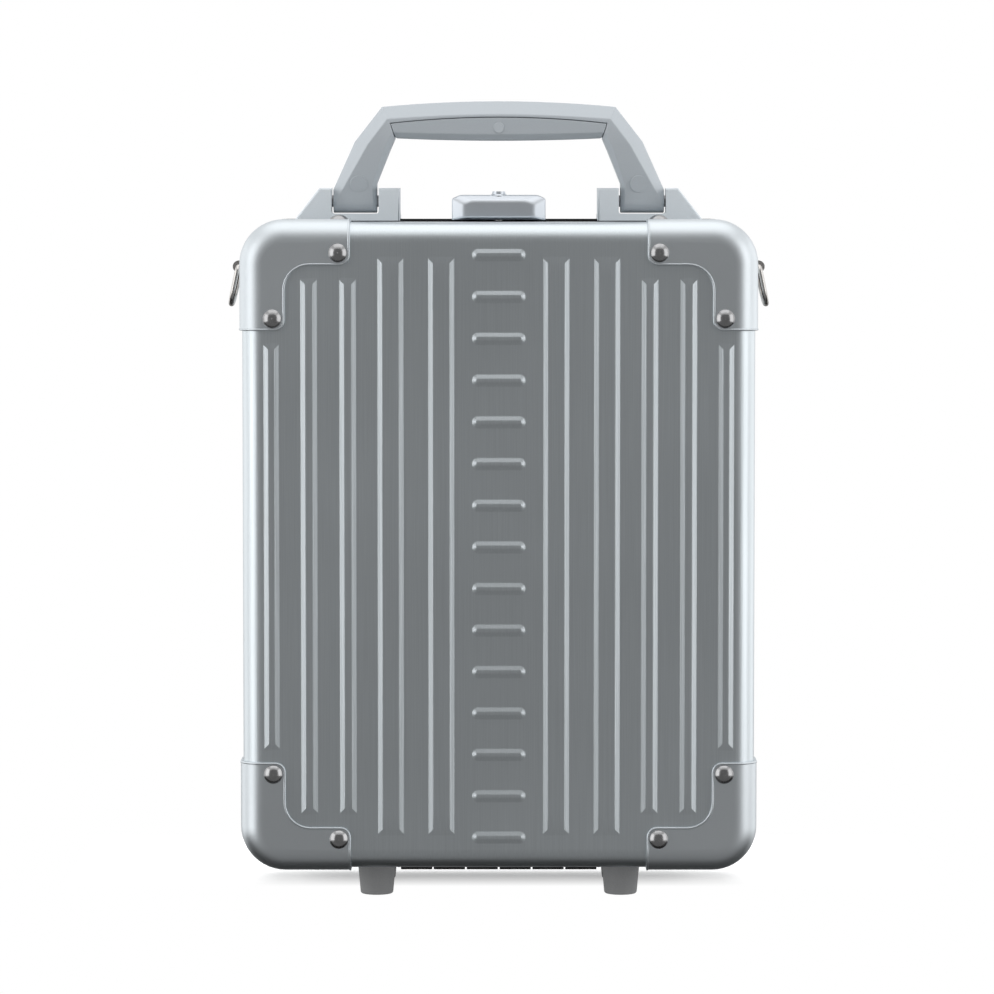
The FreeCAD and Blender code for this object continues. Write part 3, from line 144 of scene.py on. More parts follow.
class Effect(Enum):
    """Surface effects that several finishes share."""

    STREAKS = "brushed_streaks"
    MOTTLE = "soft_mottle"
    GRAIN = "moulded_grain"
    WEAVE = "plain_weave"
    RIBS = "webbing_ribs"


# Finishes

def tone(red: int, green: int, blue: int) -> Colour:
    """Turn display values of 0 to 255 into a linear colour.

    Args:
        red: Red value.
        green: Green value.
        blue: Blue value.

    Returns:
        The colour, with full alpha.
    """
    def linear(value: int) -> float:
        """Return one linear channel."""
        share = value / 255
        return share / 12.92 if share <= 0.04045 else ((share + 0.055) / 1.055) ** 2.4

    return (linear(red), linear(green), linear(blue), 1.0)


class Board:
    """A node tree with short calls that place and link nodes."""

    def __init__(self, tree: bpy.types.NodeTree) -> None:
        """Keep the tree that the nodes go into."""
        self.tree = tree

    def add(self, kind: str, **settings: object) -> bpy.types.Node:
        """Place one node.

        Args:
            kind: Type name of the node.
            settings: Values of the node's own properties.

        Returns:
            The new node.
        """
        node = self.tree.nodes.new(kind)
        for name, value in settings.items():
            setattr(node, name, value)
        return node

    def link(self, source: Socket, target: Socket) -> None:
        """Join an output to an input."""
        self.tree.links.new(source, target)

    def noise(self, vector: Socket, scale: Socket, detail: float) -> Socket:
        """Place a noise texture.

        Args:
            vector: Coordinates that the noise reads.
            scale: Output that drives its scale.
            detail: Number of finer layers.

        Returns:
            The noise value.
        """
        node = self.add("ShaderNodeTexNoise")
        node.inputs["Detail"].default_value = detail
        self.link(vector, node.inputs["Vector"])
        self.link(scale, node.inputs["Scale"])
        return node.outputs["Fac"]

    def math(self, operation: str, *values: Socket | float) -> Socket:
        """Place a sum of one or two values.

        Args:
            operation: Name of the sum.
            values: Outputs or plain numbers.

        Returns:
            The result.
        """
        node = self.add("ShaderNodeMath", operation=operation)
        for socket, value in zip(node.inputs, values):
            if isinstance(value, (int, float)):
                socket.default_value = value
            else:
                self.link(value, socket)
        return node.outputs[0]

    def spread(self, value: Socket, source: tuple[float, float], target: tuple[float, float]) -> Socket:
        """Map a value from one range to another.

        Args:
            value: Output to map.
            source: Range that it comes in.
            target: Range that it leaves in.

        Returns:
            The mapped value.
        """
        node = self.add("ShaderNodeMapRange")
        self.link(value, node.inputs["Value"])
        for name, number in zip(("From Min", "From Max", "To Min", "To Max"), source + target):
            node.inputs[name].default_value = number
        return node.outputs["Result"]

    def mix(self, mask: Socket, low: Colour, high: Colour) -> Socket:
        """Mix two colours.

        Args:
            mask: Share of the second colour.
            low: Colour where the mask is 0.
            high: Colour where the mask is 1.

        Returns:
            The mixed colour.
        """
        node = self.add("ShaderNodeMix", data_type="RGBA")
        for socket, colour in zip([s for s in node.inputs if s.type == "RGBA"], (low, high)):
            socket.default_value = colour
        self.link(mask, node.inputs[0])
        return next(s for s in node.outputs if s.type == "RGBA")


class EffectShelf:
    """Shader groups that finishes share, each built once and with the inputs Vector and Scale."""

    STRETCH = (1.0, 1.0, 0.012)
    STREAK_DETAIL = 5.0
    STREAK_RANGE = (0.25, 0.75)
    MOTTLE_DETAIL = 2.0
    MOTTLE_RANGE = (0.3, 0.7)
    GRAIN_DETAIL = 3.0
    YARN = 0.35

    def __init__(self) -> None:
        """Start with no group built."""
        self.built: dict[Effect, bpy.types.NodeTree] = {}

    def group(self, effect: Effect) -> bpy.types.NodeTree:
        """Return the group of an effect, building it on first use.

        Args:
            effect: The effect that is wanted.

        Returns:
            A group whose output Mask lies between 0 and 1.
        """
        if effect not in self.built:
            self.built[effect] = self.build(effect)
        return self.built[effect]

    def build(self, effect: Effect) -> bpy.types.NodeTree:
        """Make one group.

        Args:
            effect: The effect that is wanted.

        Returns:
            The new group.
        """
        tree = bpy.data.node_groups.new(effect.value, "ShaderNodeTree")
        tree.interface.new_socket("Vector", in_out="INPUT", socket_type="NodeSocketVector")
        tree.interface.new_socket("Scale", in_out="INPUT", socket_type="NodeSocketFloat")
        tree.interface.new_socket("Mask", in_out="OUTPUT", socket_type="NodeSocketFloat")
        board = Board(tree)
        entry = board.add("NodeGroupInput")
        leave = board.add("NodeGroupOutput")
        patterns = {
            Effect.STREAKS: self.streaks,
            Effect.MOTTLE: self.mottle,
            Effect.GRAIN: self.grain,
            Effect.WEAVE: self.weave,
            Effect.RIBS: self.ribs,
        }
        mask = patterns[effect](board, entry.outputs["Vector"], entry.outputs["Scale"])
        board.link(mask, leave.inputs["Mask"])
        return tree

    def streaks(self, board: Board, vector: Socket, scale: Socket) -> Socket:
        """Lay fine lines that run up and down.

        Args:
            board: Tree of the group.
            vector: Coordinates that it reads.
            scale: Repeats to the metre.

        Returns:
            The mask.
        """
        stretch = board.add("ShaderNodeVectorMath", operation="MULTIPLY")
        stretch.inputs[1].default_value = self.STRETCH
        board.link(vector, stretch.inputs[0])
        return board.spread(board.noise(stretch.outputs[0], scale, self.STREAK_DETAIL), self.STREAK_RANGE, UNIT)

    def mottle(self, board: Board, vector: Socket, scale: Socket) -> Socket:
        """Return soft cloudy patches."""
        return board.spread(board.noise(vector, scale, self.MOTTLE_DETAIL), self.MOTTLE_RANGE, UNIT)

    def grain(self, board: Board, vector: Socket, scale: Socket) -> Socket:
        """Return the fine even grain of a spark-eroded mould."""
        return board.noise(vector, scale, self.GRAIN_DETAIL)

    def weave(self, board: Board, vector: Socket, scale: Socket) -> Socket:
        """Lay the over and under of a plain weave.

        Args:
            board: Tree of the group.
            vector: Coordinates that it reads.
            scale: Repeats to the metre.

        Returns:
            The mask.
        """
        parts = board.add("ShaderNodeSeparateXYZ")
        board.link(vector, parts.inputs[0])
        across = board.math("ADD", parts.outputs["X"], parts.outputs["Y"])
        warp = board.math("SINE", board.math("MULTIPLY", across, scale))
        weft = board.math("SINE", board.math("MULTIPLY", parts.outputs["Z"], scale))
        return board.spread(board.math("MULTIPLY", warp, weft), (-1.0, 1.0), UNIT)

    def ribs(self, board: Board, vector: Socket, scale: Socket) -> Socket:
        """Lay the cross ribs and long yarns of narrow webbing.

        Args:
            board: Tree of the group.
            vector: Coordinates that it reads.
            scale: Repeats to the metre.

        Returns:
            The mask.
        """
        parts = board.add("ShaderNodeSeparateXYZ")
        board.link(vector, parts.inputs[0])
        cross = board.math("SINE", board.math("MULTIPLY", parts.outputs["X"], scale))
        along = board.math("SINE", board.math("MULTIPLY", parts.outputs["Z"], scale))
        faint = board.math("MULTIPLY", along, self.YARN)
        return board.spread(board.math("ADD", cross, faint), (-1.0 - self.YARN, 1.0 + self.YARN), UNIT)


def fresh_material(name: str, values: dict[str, float | Colour]) -> tuple[bpy.types.Material, bpy.types.Node]:
    """Make a material and set its shader.

    Args:
        name: Name of the material.
        values: Plain values of the shader's own sockets.

    Returns:
        The material and its shader.
    """
    material = bpy.data.materials.new(name)
    material.use_nodes = True
    shader = material.node_tree.nodes["Principled BSDF"]
    for socket, value in values.items():
        shader.inputs[socket].default_value = value
    return material, shader


@dataclass(frozen=True)
class Finish:
    """One surface finish: two tones, a gloss range and a relief that follow a shared effect.

    Attributes:
        name: Name of the material.
        dark: Colour in the hollows of the effect.
        light: Colour on its raised parts.
        effect: Effect that mixes the tones and lifts the surface.
        scale: Scale of the effect, in repeats to the metre.
        relief: Height of the effect, in metres.
        gloss: Roughness from the cleanest to the dullest patch.
        patch_scale: Scale of the patches, in repeats to the metre.
        metallic: 1 for bare metal.
        specular: Strength of the plain reflection.
        sheen: Strength of the fibres' sheen.
    """

    name: str
    dark: Colour
    light: Colour
    effect: Effect
    scale: float
    relief: float
    gloss: tuple[float, float]
    patch_scale: float = 9.0
    metallic: float = 0.0
    specular: float = 0.5
    sheen: float = 0.0

    def material(self, shelf: EffectShelf) -> bpy.types.Material:
        """Build the material.

        Args:
            shelf: Store of the shared effects.

        Returns:
            A material on Object coordinates.
        """
        material, shader = fresh_material(self.name, {
            "Metallic": self.metallic, "Specular IOR Level": self.specular, "Sheen Weight": self.sheen})
        board = Board(material.node_tree)
        place = board.add("ShaderNodeTexCoord").outputs["Object"]
        mask = self.placed(board, shelf, self.effect, self.scale, place)
        patch = self.placed(board, shelf, Effect.MOTTLE, self.patch_scale, place)
        board.link(board.mix(mask, self.dark, self.light), shader.inputs["Base Color"])
        board.link(board.spread(patch, UNIT, self.gloss), shader.inputs["Roughness"])
        bump = board.add("ShaderNodeBump")
        bump.inputs["Distance"].default_value = self.relief
        board.link(mask, bump.inputs["Height"])
        board.link(bump.outputs["Normal"], shader.inputs["Normal"])
        return material

    def placed(self, board: Board, shelf: EffectShelf, effect: Effect, scale: float, place: Socket) -> Socket:
        """Put one shared effect into the material.

        Args:
            board: Tree of the material.
            shelf: Store of the shared effects.
            effect: Effect to place.
            scale: Its scale here.
            place: Coordinates that it reads.

        Returns:
            The effect's mask.
        """
        node = board.add("ShaderNodeGroup", node_tree=shelf.group(effect))
        node.inputs["Scale"].default_value = scale
        board.link(place, node.inputs["Vector"])
        return node.outputs["Mask"]


FINISHES = {
    "shell_aluminium": Finish("brushed_shell", tone(217, 224, 228), tone(226, 233, 237), Effect.STREAKS, 1500.0,
                              0.00002, (0.35, 0.41), metallic=1.0),
    "cap_aluminium": Finish("satin_cap", tone(221, 227, 231), tone(227, 233, 237), Effect.GRAIN, 2500.0,
                            0.00001, (0.40, 0.46), metallic=1.0),
    "frame_aluminium": Finish("rail_aluminium", tone(160, 162, 164), tone(172, 174, 176), Effect.STREAKS, 700.0,
                              0.00002, (0.32, 0.42), metallic=1.0),
    "rivet_chrome": Finish("rivet_chrome", tone(168, 168, 169), tone(180, 180, 181), Effect.MOTTLE, 300.0,
                           0.000004, (0.17, 0.23), metallic=1.0),
    "black_metal": Finish("black_coat", tone(20, 20, 21), tone(30, 30, 31), Effect.GRAIN, 1800.0,
                          0.00002, (0.38, 0.5)),
    "seal_rubber": Finish("seal_rubber", tone(18, 18, 18), tone(26, 26, 26), Effect.GRAIN, 1200.0,
                          0.00003, (0.7, 0.85)),
    # Painted shade: the feet's grey is set darker than the brackets' like grey plastic, standing in for the shade
    # they sit in under the case.
    "foot_rubber": Finish("foot_rubber", tone(127, 128, 129), tone(140, 141, 142), Effect.GRAIN, 1600.0,
                          0.00003, (0.5, 0.62)),
    "handle_plastic": Finish("handle_moulding", tone(169, 175, 180), tone(178, 184, 189), Effect.GRAIN, 2200.0,
                             0.00003, (0.42, 0.5)),
    "grip_plastic": Finish("grip_moulding", tone(161, 167, 172), tone(170, 176, 181), Effect.GRAIN, 2200.0,
                           0.00004, (0.46, 0.55)),
    "bracket_plastic": Finish("bracket_moulding", tone(199, 205, 209), tone(208, 214, 219), Effect.GRAIN, 2200.0,
                              0.00003, (0.42, 0.5)),
    "latch_metal": Finish("latch_plate", tone(226, 231, 237), tone(234, 239, 245), Effect.GRAIN, 2600.0,
                          0.000008, (0.38, 0.46), metallic=1.0),
    "bright_steel": Finish("bright_wire", tone(208, 205, 202), tone(216, 213, 210), Effect.MOTTLE, 260.0,
                           0.000004, (0.18, 0.26), metallic=1.0),
    "plain_steel": Finish("zinc_steel", tone(150, 150, 152), tone(172, 172, 174), Effect.MOTTLE, 400.0,
                          0.00001, (0.3, 0.45), metallic=1.0),
    "lining_fabric": Finish("lining_weave", tone(46, 47, 52), tone(80, 82, 88), Effect.WEAVE, 5200.0,
                            0.00012, (0.8, 0.9), sheen=0.25),
    "organiser_fabric": Finish("organiser_nylon", tone(56, 57, 62), tone(92, 93, 100), Effect.WEAVE, 7800.0,
                               0.0001, (0.6, 0.75), sheen=0.15),
    "webbing": Finish("ribbed_webbing", tone(18, 18, 19), tone(50, 50, 53), Effect.RIBS, 4200.0,
                      0.0002, (0.65, 0.8), sheen=0.1),
    "buckle_plastic": Finish("buckle_moulding", tone(22, 22, 23), tone(30, 30, 32), Effect.GRAIN, 1800.0,
                             0.00004, (0.35, 0.45)),
}


def as_mesh(name: str, bm: Mesh) -> bpy.types.Mesh:
    """Turn a shaped form into mesh data.

    Args:
        name: Name of the mesh.
        bm: The form, which is freed.

    Returns:
        The mesh.
    """
    mesh = bpy.data.meshes.new(name)
    bm.to_mesh(mesh)
    bm.free()
    return mesh


def shown(name: str, data: bpy.types.ID) -> Piece:
    """Make an object and link it into the scene.

    Args:
        name: Name of the object.
        data: Its mesh, lamp or camera.

    Returns:
        The object.
    """
    made = bpy.data.objects.new(name, data)
    bpy.context.scene.collection.objects.link(made)
    return made


class Wardrobe:
    """Keeps the material of every slot and dresses pieces in it."""

    def __init__(self) -> None:
        """Build the material of each slot."""
        shelf = EffectShelf()
        self.materials = {slot: finish.material(shelf) for slot, finish in FINISHES.items()}

    def dress_nodes(self, frame: dict) -> None:
        """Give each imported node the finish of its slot.

        Args:
            frame: The loaded frame.
        """
        for row in frame["record"]["subparts"]:
            node = frame["nodes"][row["node"]]
            for index in range(len(node.material_slots)):
                node.material_slots[index].material = self.materials[row["material_slot"]]

    def piece(self, name: str, bm: Mesh, slot: str, body: str, *nodes: str) -> Piece:
        """Make a finished piece of a mesh.

        Args:
            name: Name of the piece.
            bm: Its mesh, which is freed.
            slot: Material slot of the record that it belongs to.
            body: Body that it rides on.
            nodes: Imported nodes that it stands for.

        Returns:
            The piece, in place.
        """
        mesh = as_mesh(name, bm)
        mesh.materials.append(self.materials[slot])
        mesh.shade_smooth()
        mesh.set_sharp_from_angle(angle=SHARP_ANGLE)
        made = shown(name, mesh)
        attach(made, body)
        if nodes:
            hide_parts(*nodes)
        LOG.info("%s: %d faces on %s", name, len(mesh.polygons), body)
        return made


# Shaping with mesh operators

def block(low: Vector, high: Vector) -> Mesh:
    """Make a box between two corners.

    Args:
        low: Lowest corner.
        high: Highest corner.

    Returns:
        The box.
    """
    bm = bmesh.new()
    place = Matrix.LocRotScale((low + high) / 2, None, high - low)
    bmesh.ops.create_cube(bm, size=1.0, matrix=place)
    bm.normal_update()
    return bm


def round_edges(bm: Mesh, edges: Iterable[Edge], radius: float, segments: int) -> None:
    """Round edges to an arc.

    Args:
        bm: Mesh that is shaped.
        edges: Edges to round.
        radius: Size of the arc.
        segments: Faces across the arc.
    """
    bmesh.ops.bevel(bm, geom=list(edges), offset=radius, offset_type="OFFSET", segments=segments, profile=0.5,
                    affect="EDGES", material=-1)
    bm.normal_update()


def round_corner(bm: Mesh, place: Vector, radius: float, segments: int) -> None:
    """Round the corner of a flat sheet at the vertex nearest to a place.

    Args:
        bm: Mesh that is shaped.
        place: Where the corner is.
        radius: Size of the arc.
        segments: Faces across the arc.
    """
    corner = min(bm.verts, key=lambda v: (v.co - place).length)
    bmesh.ops.bevel(bm, geom=[corner], offset=radius, offset_type="OFFSET", segments=segments, profile=0.5,
                    affect="VERTICES", material=-1)
    bm.normal_update()


def runs_along(edge: Edge, axis: Axis) -> bool:
    """Say whether an edge is parallel to an axis."""
    way = (edge.verts[1].co - edge.verts[0].co).normalized()
    return abs(way[axis.value]) > 1 - SAME


def lies_at(edge: Edge, axis: Axis, level: float) -> bool:
    """Say whether both ends of an edge are at one level of an axis."""
    return all(abs(v.co[axis.value] - level) < SAME for v in edge.verts)


def level_faces(bm: Mesh, axis: Axis, level: float) -> list[Face]:
    """Return the faces that lie at one level of an axis."""
    return [f for f in bm.faces if all(abs(v.co[axis.value] - level) < SAME for v in f.verts)]


def sharp_edges(bm: Mesh, degrees: float) -> list[Edge]:
    """Return the edges whose faces meet at more than an angle."""
    limit = math.radians(degrees)
    return [e for e in bm.edges if len(e.link_faces) == 2 and e.calc_face_angle(0.0) > limit]


def cut_cells(bm: Mesh, faces: Iterable[Face], place: Vector, way: Vector) -> None:
    """Divide flat faces by a plane.

    Args:
        bm: Mesh that is shaped.
        faces: Faces to divide.
        place: A point of the plane.
        way: Normal of the plane.
    """
    chosen = list(faces)
    edges = {e for f in chosen for e in f.edges}
    verts = {v for f in chosen for v in f.verts}
    bmesh.ops.bisect_plane(bm, geom=chosen + list(edges) + list(verts), dist=SAME, plane_co=place, plane_no=way)


def cut_away(bm: Mesh, place: Vector, way: Vector) -> None:
    """Remove all that lies beyond a plane."""
    geometry = list(bm.verts) + list(bm.edges) + list(bm.faces)
    bmesh.ops.bisect_plane(bm, geom=geometry, dist=SAME, plane_co=place, plane_no=way, clear_outer=True)


def ring(bm: Mesh, points: Points) -> list[Edge]:
    """Return the edges of a closed loop through points."""
    verts = [bm.verts.new(p) for p in points]
    return [bm.edges.new((a, b)) for a, b in zip(verts, verts[1:] + verts[:1])]


def pierce_top(bm: Mesh, centre: Vector, radius: float, margin: float) -> None:
    """Open a round hole in the level face that a point lies in.

    Args:
        bm: Mesh that is shaped.
        centre: Middle of the hole.
        radius: Radius of the hole.
        margin: Half width of the square cell that is cut round it.
    """
    for way in (Axis.X.way, Axis.Y.way):
        for sign in (-1, 1):
            cut_cells(bm, level_faces(bm, Axis.Z, centre.z), centre + way * (sign * margin), way)
    cells = level_faces(bm, Axis.Z, centre.z)
    cell = min(cells, key=lambda f: (f.calc_center_bounds() - centre).length)
    rim = list(cell.edges)
    bmesh.ops.delete(bm, geom=[cell], context="FACES_ONLY")
    place = Matrix.Translation(centre)
    made = bmesh.ops.create_circle(bm, segments=HOLE_SIDES, radius=radius, matrix=place)["verts"]
    edges = {e for v in made for e in v.link_edges}
    bmesh.ops.triangle_fill(bm, use_beauty=True, edges=rim + list(edges), normal=Axis.Z.way)
    bmesh.ops.recalc_face_normals(bm, faces=bm.faces)
    bm.normal_update()


def chain(bm: Mesh, points: Points) -> list[Edge]:
    """Return the edges of an open line through points."""
    verts = [bm.verts.new(p) for p in points]
    return [bm.edges.new((a, b)) for a, b in zip(verts, verts[1:])]


def add_mesh(whole: Mesh, part: Mesh) -> None:
    """Add a part's faces to a mesh.

    Args:
        whole: Mesh that takes the faces.
        part: Mesh that gives them and is freed.
    """
    mesh = as_mesh("part", part)
    whole.from_mesh(mesh)
    bpy.data.meshes.remove(mesh)


def loft(bm: Mesh, rings: list[Points], closed: bool = True) -> None:
    """Skin a row of loops of like corners.

    Args:
        bm: Mesh that is shaped.
        rings: Corners of each loop.
        closed: Whether the two end loops are filled.
    """
    loops = [ring(bm, points) for points in rings]
    for before, after in zip(loops, loops[1:]):
        bmesh.ops.bridge_loops(bm, edges=before + after)
    if closed:
        for end in (loops[0], loops[-1]):
            bmesh.ops.contextual_create(bm, geom=end)


def outward(bm: Mesh) -> None:
    """Merge doubles and turn all faces outwards.

    Args:
        bm: Mesh that is shaped.
    """
    bmesh.ops.remove_doubles(bm, verts=bm.verts, dist=SAME)
    bmesh.ops.recalc_face_normals(bm, faces=bm.faces)
    bm.normal_update()


def reflect(bm: Mesh, axis: Axis, level: float = 0.0) -> None:
    """Reflect a mesh in a plane square to an axis, with its faces still outwards.

    Args:
        bm: Mesh that is shaped.
        axis: Axis that the plane is square to.
        level: Place of the plane on the axis.
    """
    bmesh.ops.scale(bm, vec=Vector((1.0, 1.0, 1.0)) - 2 * axis.way, verts=bm.verts)
    bmesh.ops.translate(bm, vec=axis.way * (2 * level), verts=bm.verts)
    bmesh.ops.reverse_faces(bm, faces=bm.faces)
    bm.normal_update()


def thicken(piece: Piece, wall: float, edge: float) -> None:
    """Give a sheet its thickness inwards and soften its rim.

    Args:
        piece: Piece made of a single sheet.
        wall: Thickness.
        edge: Size of the softened rim.
    """
    solid = piece.modifiers.new("wall", "SOLIDIFY")
    solid.thickness = wall
    solid.offset = -1.0
    solid.use_even_offset = True
    rim = piece.modifiers.new("rim", "BEVEL")
    rim.width = edge
    rim.segments = SOFT_STEPS
    rim.limit_method = "ANGLE"
    rim.angle_limit = math.radians(RIM_DEGREES)
    level_shading(piece)


def level_shading(piece: Piece) -> None:
    """Keep flat faces flat beside rounded edges."""
    shading = piece.modifiers.new("shading", "WEIGHTED_NORMAL")
    shading.keep_sharp = True


# The case

@dataclass(frozen=True)
class CaseFrame:
    """Main sizes of the case, in metres."""

    half_width: float
    bottom: float
    top: float
    face: float
    corner_radius: float = 0.0216
    edge_radius: float = 0.011
    corner_steps: int = 12
    edge_steps: int = 8
    rib_height: float = 0.0013
    button_y: float = -0.0115

    @classmethod
    def measured(cls) -> "CaseFrame":
        """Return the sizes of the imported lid."""
        low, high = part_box("front_shell")
        return cls(high.x, low.z, high.z, -low.y - cls.rib_height)

    @property
    def middle(self) -> float:
        """Return the height of the case's middle."""
        return (self.bottom + self.top) / 2

    @property
    def half_height(self) -> float:
        """Return half the case's height."""
        return (self.top - self.bottom) / 2

    def dish(self, inset: float, rim: float, face: float, edge_radius: float) -> Mesh:
        """Make a tray on the front half, open towards the parting plane.

        Args:
            inset: How far it is drawn in from the case's outline.
            rim: Depth of its open rim before the parting plane.
            face: Depth of its closed face.
            edge_radius: Rounding between its face and its walls.

        Returns:
            A single sheet with its faces outwards.
        """
        side = self.half_width - inset
        bm = block(Vector((-side, -face, self.bottom + inset)), Vector((side, -rim, self.top - inset)))
        bmesh.ops.delete(bm, geom=[f for f in bm.faces if f.normal.y > FACING], context="FACES_ONLY")
        upright = [e for e in bm.edges if runs_along(e, Axis.Y)]
        round_edges(bm, upright, self.corner_radius - inset, self.corner_steps)
        round_edges(bm, [e for e in bm.edges if lies_at(e, Axis.Y, -face)], edge_radius, self.edge_steps)
        return bm


@dataclass
class PressedShell:
    """One pressed shell with its upright ribs and its column of cross bumps."""

    case: CaseFrame
    half: Half
    rim: float
    sheet: float = 0.0015
    rib_flank: float = 0.003
    rib_slope: float = 0.011
    rib_end_share: float = 0.35
    rib_softness: float = 0.0004
    rib_steps: int = 4
    rib_rise: float = 0.00108
    wide_rib: float = 0.014
    narrow_rib: float = 0.0092
    wide_shares: tuple[tuple[float, float], ...] = ((0.2235, 0.893), (0.4205, 0.893))
    narrow_shares: tuple[tuple[float, float], ...] = ((0.5867, 0.828), (0.7378, 0.828), (0.8865, 0.628))
    bump_count: int = 15
    bump_length: float = 0.0277
    bump_width: float = 0.0064
    bump_flank: float = 0.0024
    bump_height: float = 0.0011
    bump_softness: float = 0.0004
    bump_steps: int = 2
    bump_reach_share: float = 0.899
    bump_margin: float = 0.004
    bump_sides: int = 28
    button_hole: float = 0.0024
    cut_edge: float = 0.0003

    def flat_cells(self, bm: Mesh, low: float, high: float) -> list[Face]:
        """Return the flat faces of the front that lie between two places across."""
        flats = level_faces(bm, Axis.Y, -self.case.face)
        return [f for f in flats if low < f.calc_center_bounds().x < high]

    def rib_rows(self) -> list[tuple[float, float, float]]:
        """List the ribs.

        Returns:
            Place across, half width and half length of each rib.
        """
        rows = [(share, self.wide_rib, reach) for share, reach in self.wide_shares]
        rows += [(share, self.narrow_rib, reach) for share, reach in self.narrow_shares]
        both = [(sign * share, width, reach) for share, width, reach in rows for sign in (-1, 1)]
        half = self.case.half_width
        return [(half * share, width / 2, self.case.half_height * reach) for share, width, reach in both]

    def cut_columns(self, bm: Mesh) -> None:
        """Divide the face along the sides of the ribs and of the column of bumps.

        Args:
            bm: Mesh that is shaped.
        """
        column = self.bump_length / 2 + self.bump_margin
        places = [-column, column]
        for place, half_width, _ in self.rib_rows():
            places += [place - half_width, place + half_width]
        far = self.case.half_width
        for place in places:
            cut_cells(bm, self.flat_cells(bm, -far, far), Axis.X.way * place, Axis.X.way)

    def press_ribs(self, bm: Mesh) -> None:
        """Raise the ribs, slope their ends and soften their shoulders.

        Args:
            bm: Mesh that is shaped.
        """
        tops = []
        middle = self.case.middle
        for place, half_width, half_length in self.rib_rows():
            for sign in (-1, 1):
                cells = self.flat_cells(bm, place - half_width, place + half_width)
                cut_cells(bm, cells, Axis.Z.way * (middle + sign * half_length), Axis.Z.way)
            cells = self.flat_cells(bm, place - half_width, place + half_width)
            tops.append(min(cells, key=lambda f: abs(f.calc_center_bounds().z - middle)))
        bmesh.ops.inset_individual(bm, faces=tops, thickness=self.rib_flank, depth=self.rib_rise,
                                   use_even_offset=True)
        ends = {v for top in tops for v in top.verts}
        crest = -self.case.face - self.rib_rise
        for place, half_width, half_length in self.rib_rows():
            for sign in (-1, 1):
                rows = [f for f in level_faces(bm, Axis.Y, crest)
                        if abs(f.calc_center_bounds().x - place) < half_width]
                level = middle + sign * (half_length - self.rib_slope)
                cut_cells(bm, rows, Axis.Z.way * level, Axis.Z.way)
        tops = level_faces(bm, Axis.Y, crest)
        for vert in ends:
            vert.co.y += self.rib_rise * (1 - self.rib_end_share)
        bm.normal_update()
        self.soften(bm, tops, self.rib_softness, self.rib_steps, with_corners=True)

    def press_bumps(self, bm: Mesh) -> None:
        """Raise the cross bumps of the middle column.

        Args:
            bm: Mesh that is shaped.
        """
        reach = self.case.half_height * self.bump_reach_share
        pitch = 2 * reach / (self.bump_count - 1)
        column = self.bump_length / 2 + self.bump_margin
        for index in range(self.bump_count + 1):
            level = self.case.middle - reach + pitch * (index - 0.5)
            cut_cells(bm, self.flat_cells(bm, -column, column), Axis.Z.way * level, Axis.Z.way)
        centres = [self.case.middle - reach + pitch * index for index in range(self.bump_count)]
        cells = self.flat_cells(bm, -column, column)
        chosen = [min(cells, key=lambda f: abs(f.calc_center_bounds().z - z)) for z in centres]
        tops = [self.open_bump(bm, cell, z) for cell, z in zip(chosen, centres)]
        bmesh.ops.recalc_face_normals(bm, faces=bm.faces)
        bm.normal_update()
        bmesh.ops.inset_individual(bm, faces=tops, thickness=self.bump_flank, depth=self.bump_height,
                                   use_even_offset=True)
        self.soften(bm, tops, self.bump_softness, self.bump_steps, with_corners=False)

    def open_bump(self, bm: Mesh, cell: Face, level: float) -> Face:
        """Draw the long round-ended outline of one bump inside its cell.

        Args:
            bm: Mesh that is shaped.
            cell: Flat face that the bump lies in.
            level: Height of the bump.

        Returns:
            The face inside the outline.
        """
        rim = list(cell.edges)
        bmesh.ops.delete(bm, geom=[cell], context="FACES_ONLY")
        step = Matrix.Rotation(math.pi / self.bump_sides, 4, "Z")
        turn = Matrix.Translation((0.0, -self.case.face, level)) @ Matrix.Rotation(math.pi / 2, 4, "X") @ step
        made = bmesh.ops.create_circle(bm, cap_ends=True, radius=self.bump_width / 2, segments=self.bump_sides,
                                       matrix=turn)["verts"]
        for sign in (-1, 1):
            end = [v for v in made if v.co.x * sign > 0]
            shift = (sign * (self.bump_length - self.bump_width) / 2, 0.0, 0.0)
            bmesh.ops.translate(bm, verts=end, vec=shift)
        inside = made[0].link_faces[0]
        bmesh.ops.bridge_loops(bm, edges=rim + list(inside.edges))
        return inside

    def soften(self, bm: Mesh, tops: list[Face], radius: float, segments: int, with_corners: bool) -> None:
        """Round the foot and the shoulders of raised faces.

        Args:
            bm: Mesh that is shaped.
            tops: The raised faces.
            radius: Size of the rounding.
            segments: Faces across it.
            with_corners: Whether the corners between the flanks are rounded too.
        """
        raised = set(tops)
        flanks = {f for top in tops for e in top.edges for f in e.link_faces} - raised
        edges = {e for f in flanks for e in f.edges}
        if not with_corners:
            edges = {e for e in edges if not all(f in flanks for f in e.link_faces)}
        round_edges(bm, edges, radius, segments)

    def build(self, wardrobe: Wardrobe) -> None:
        """Make the shell.

        Args:
            wardrobe: Dresses the pieces.
        """
        bm = self.case.dish(0.0, self.rim, self.case.face, self.case.edge_radius)
        self.cut_columns(bm)
        self.press_ribs(bm)
        self.press_bumps(bm)
        if self.half is Half.REAR:
            reflect(bm, Axis.Y)
        else:
            place = Vector((0.0, self.case.button_y, self.case.top))
            pierce_top(bm, place, self.button_hole, 2 * self.button_hole)
        name = f"{self.half.word}_shell"
        shell = wardrobe.piece(f"pressed_{name}", bm, "shell_aluminium", self.half.body, name)
        thicken(shell, self.sheet, self.cut_edge)


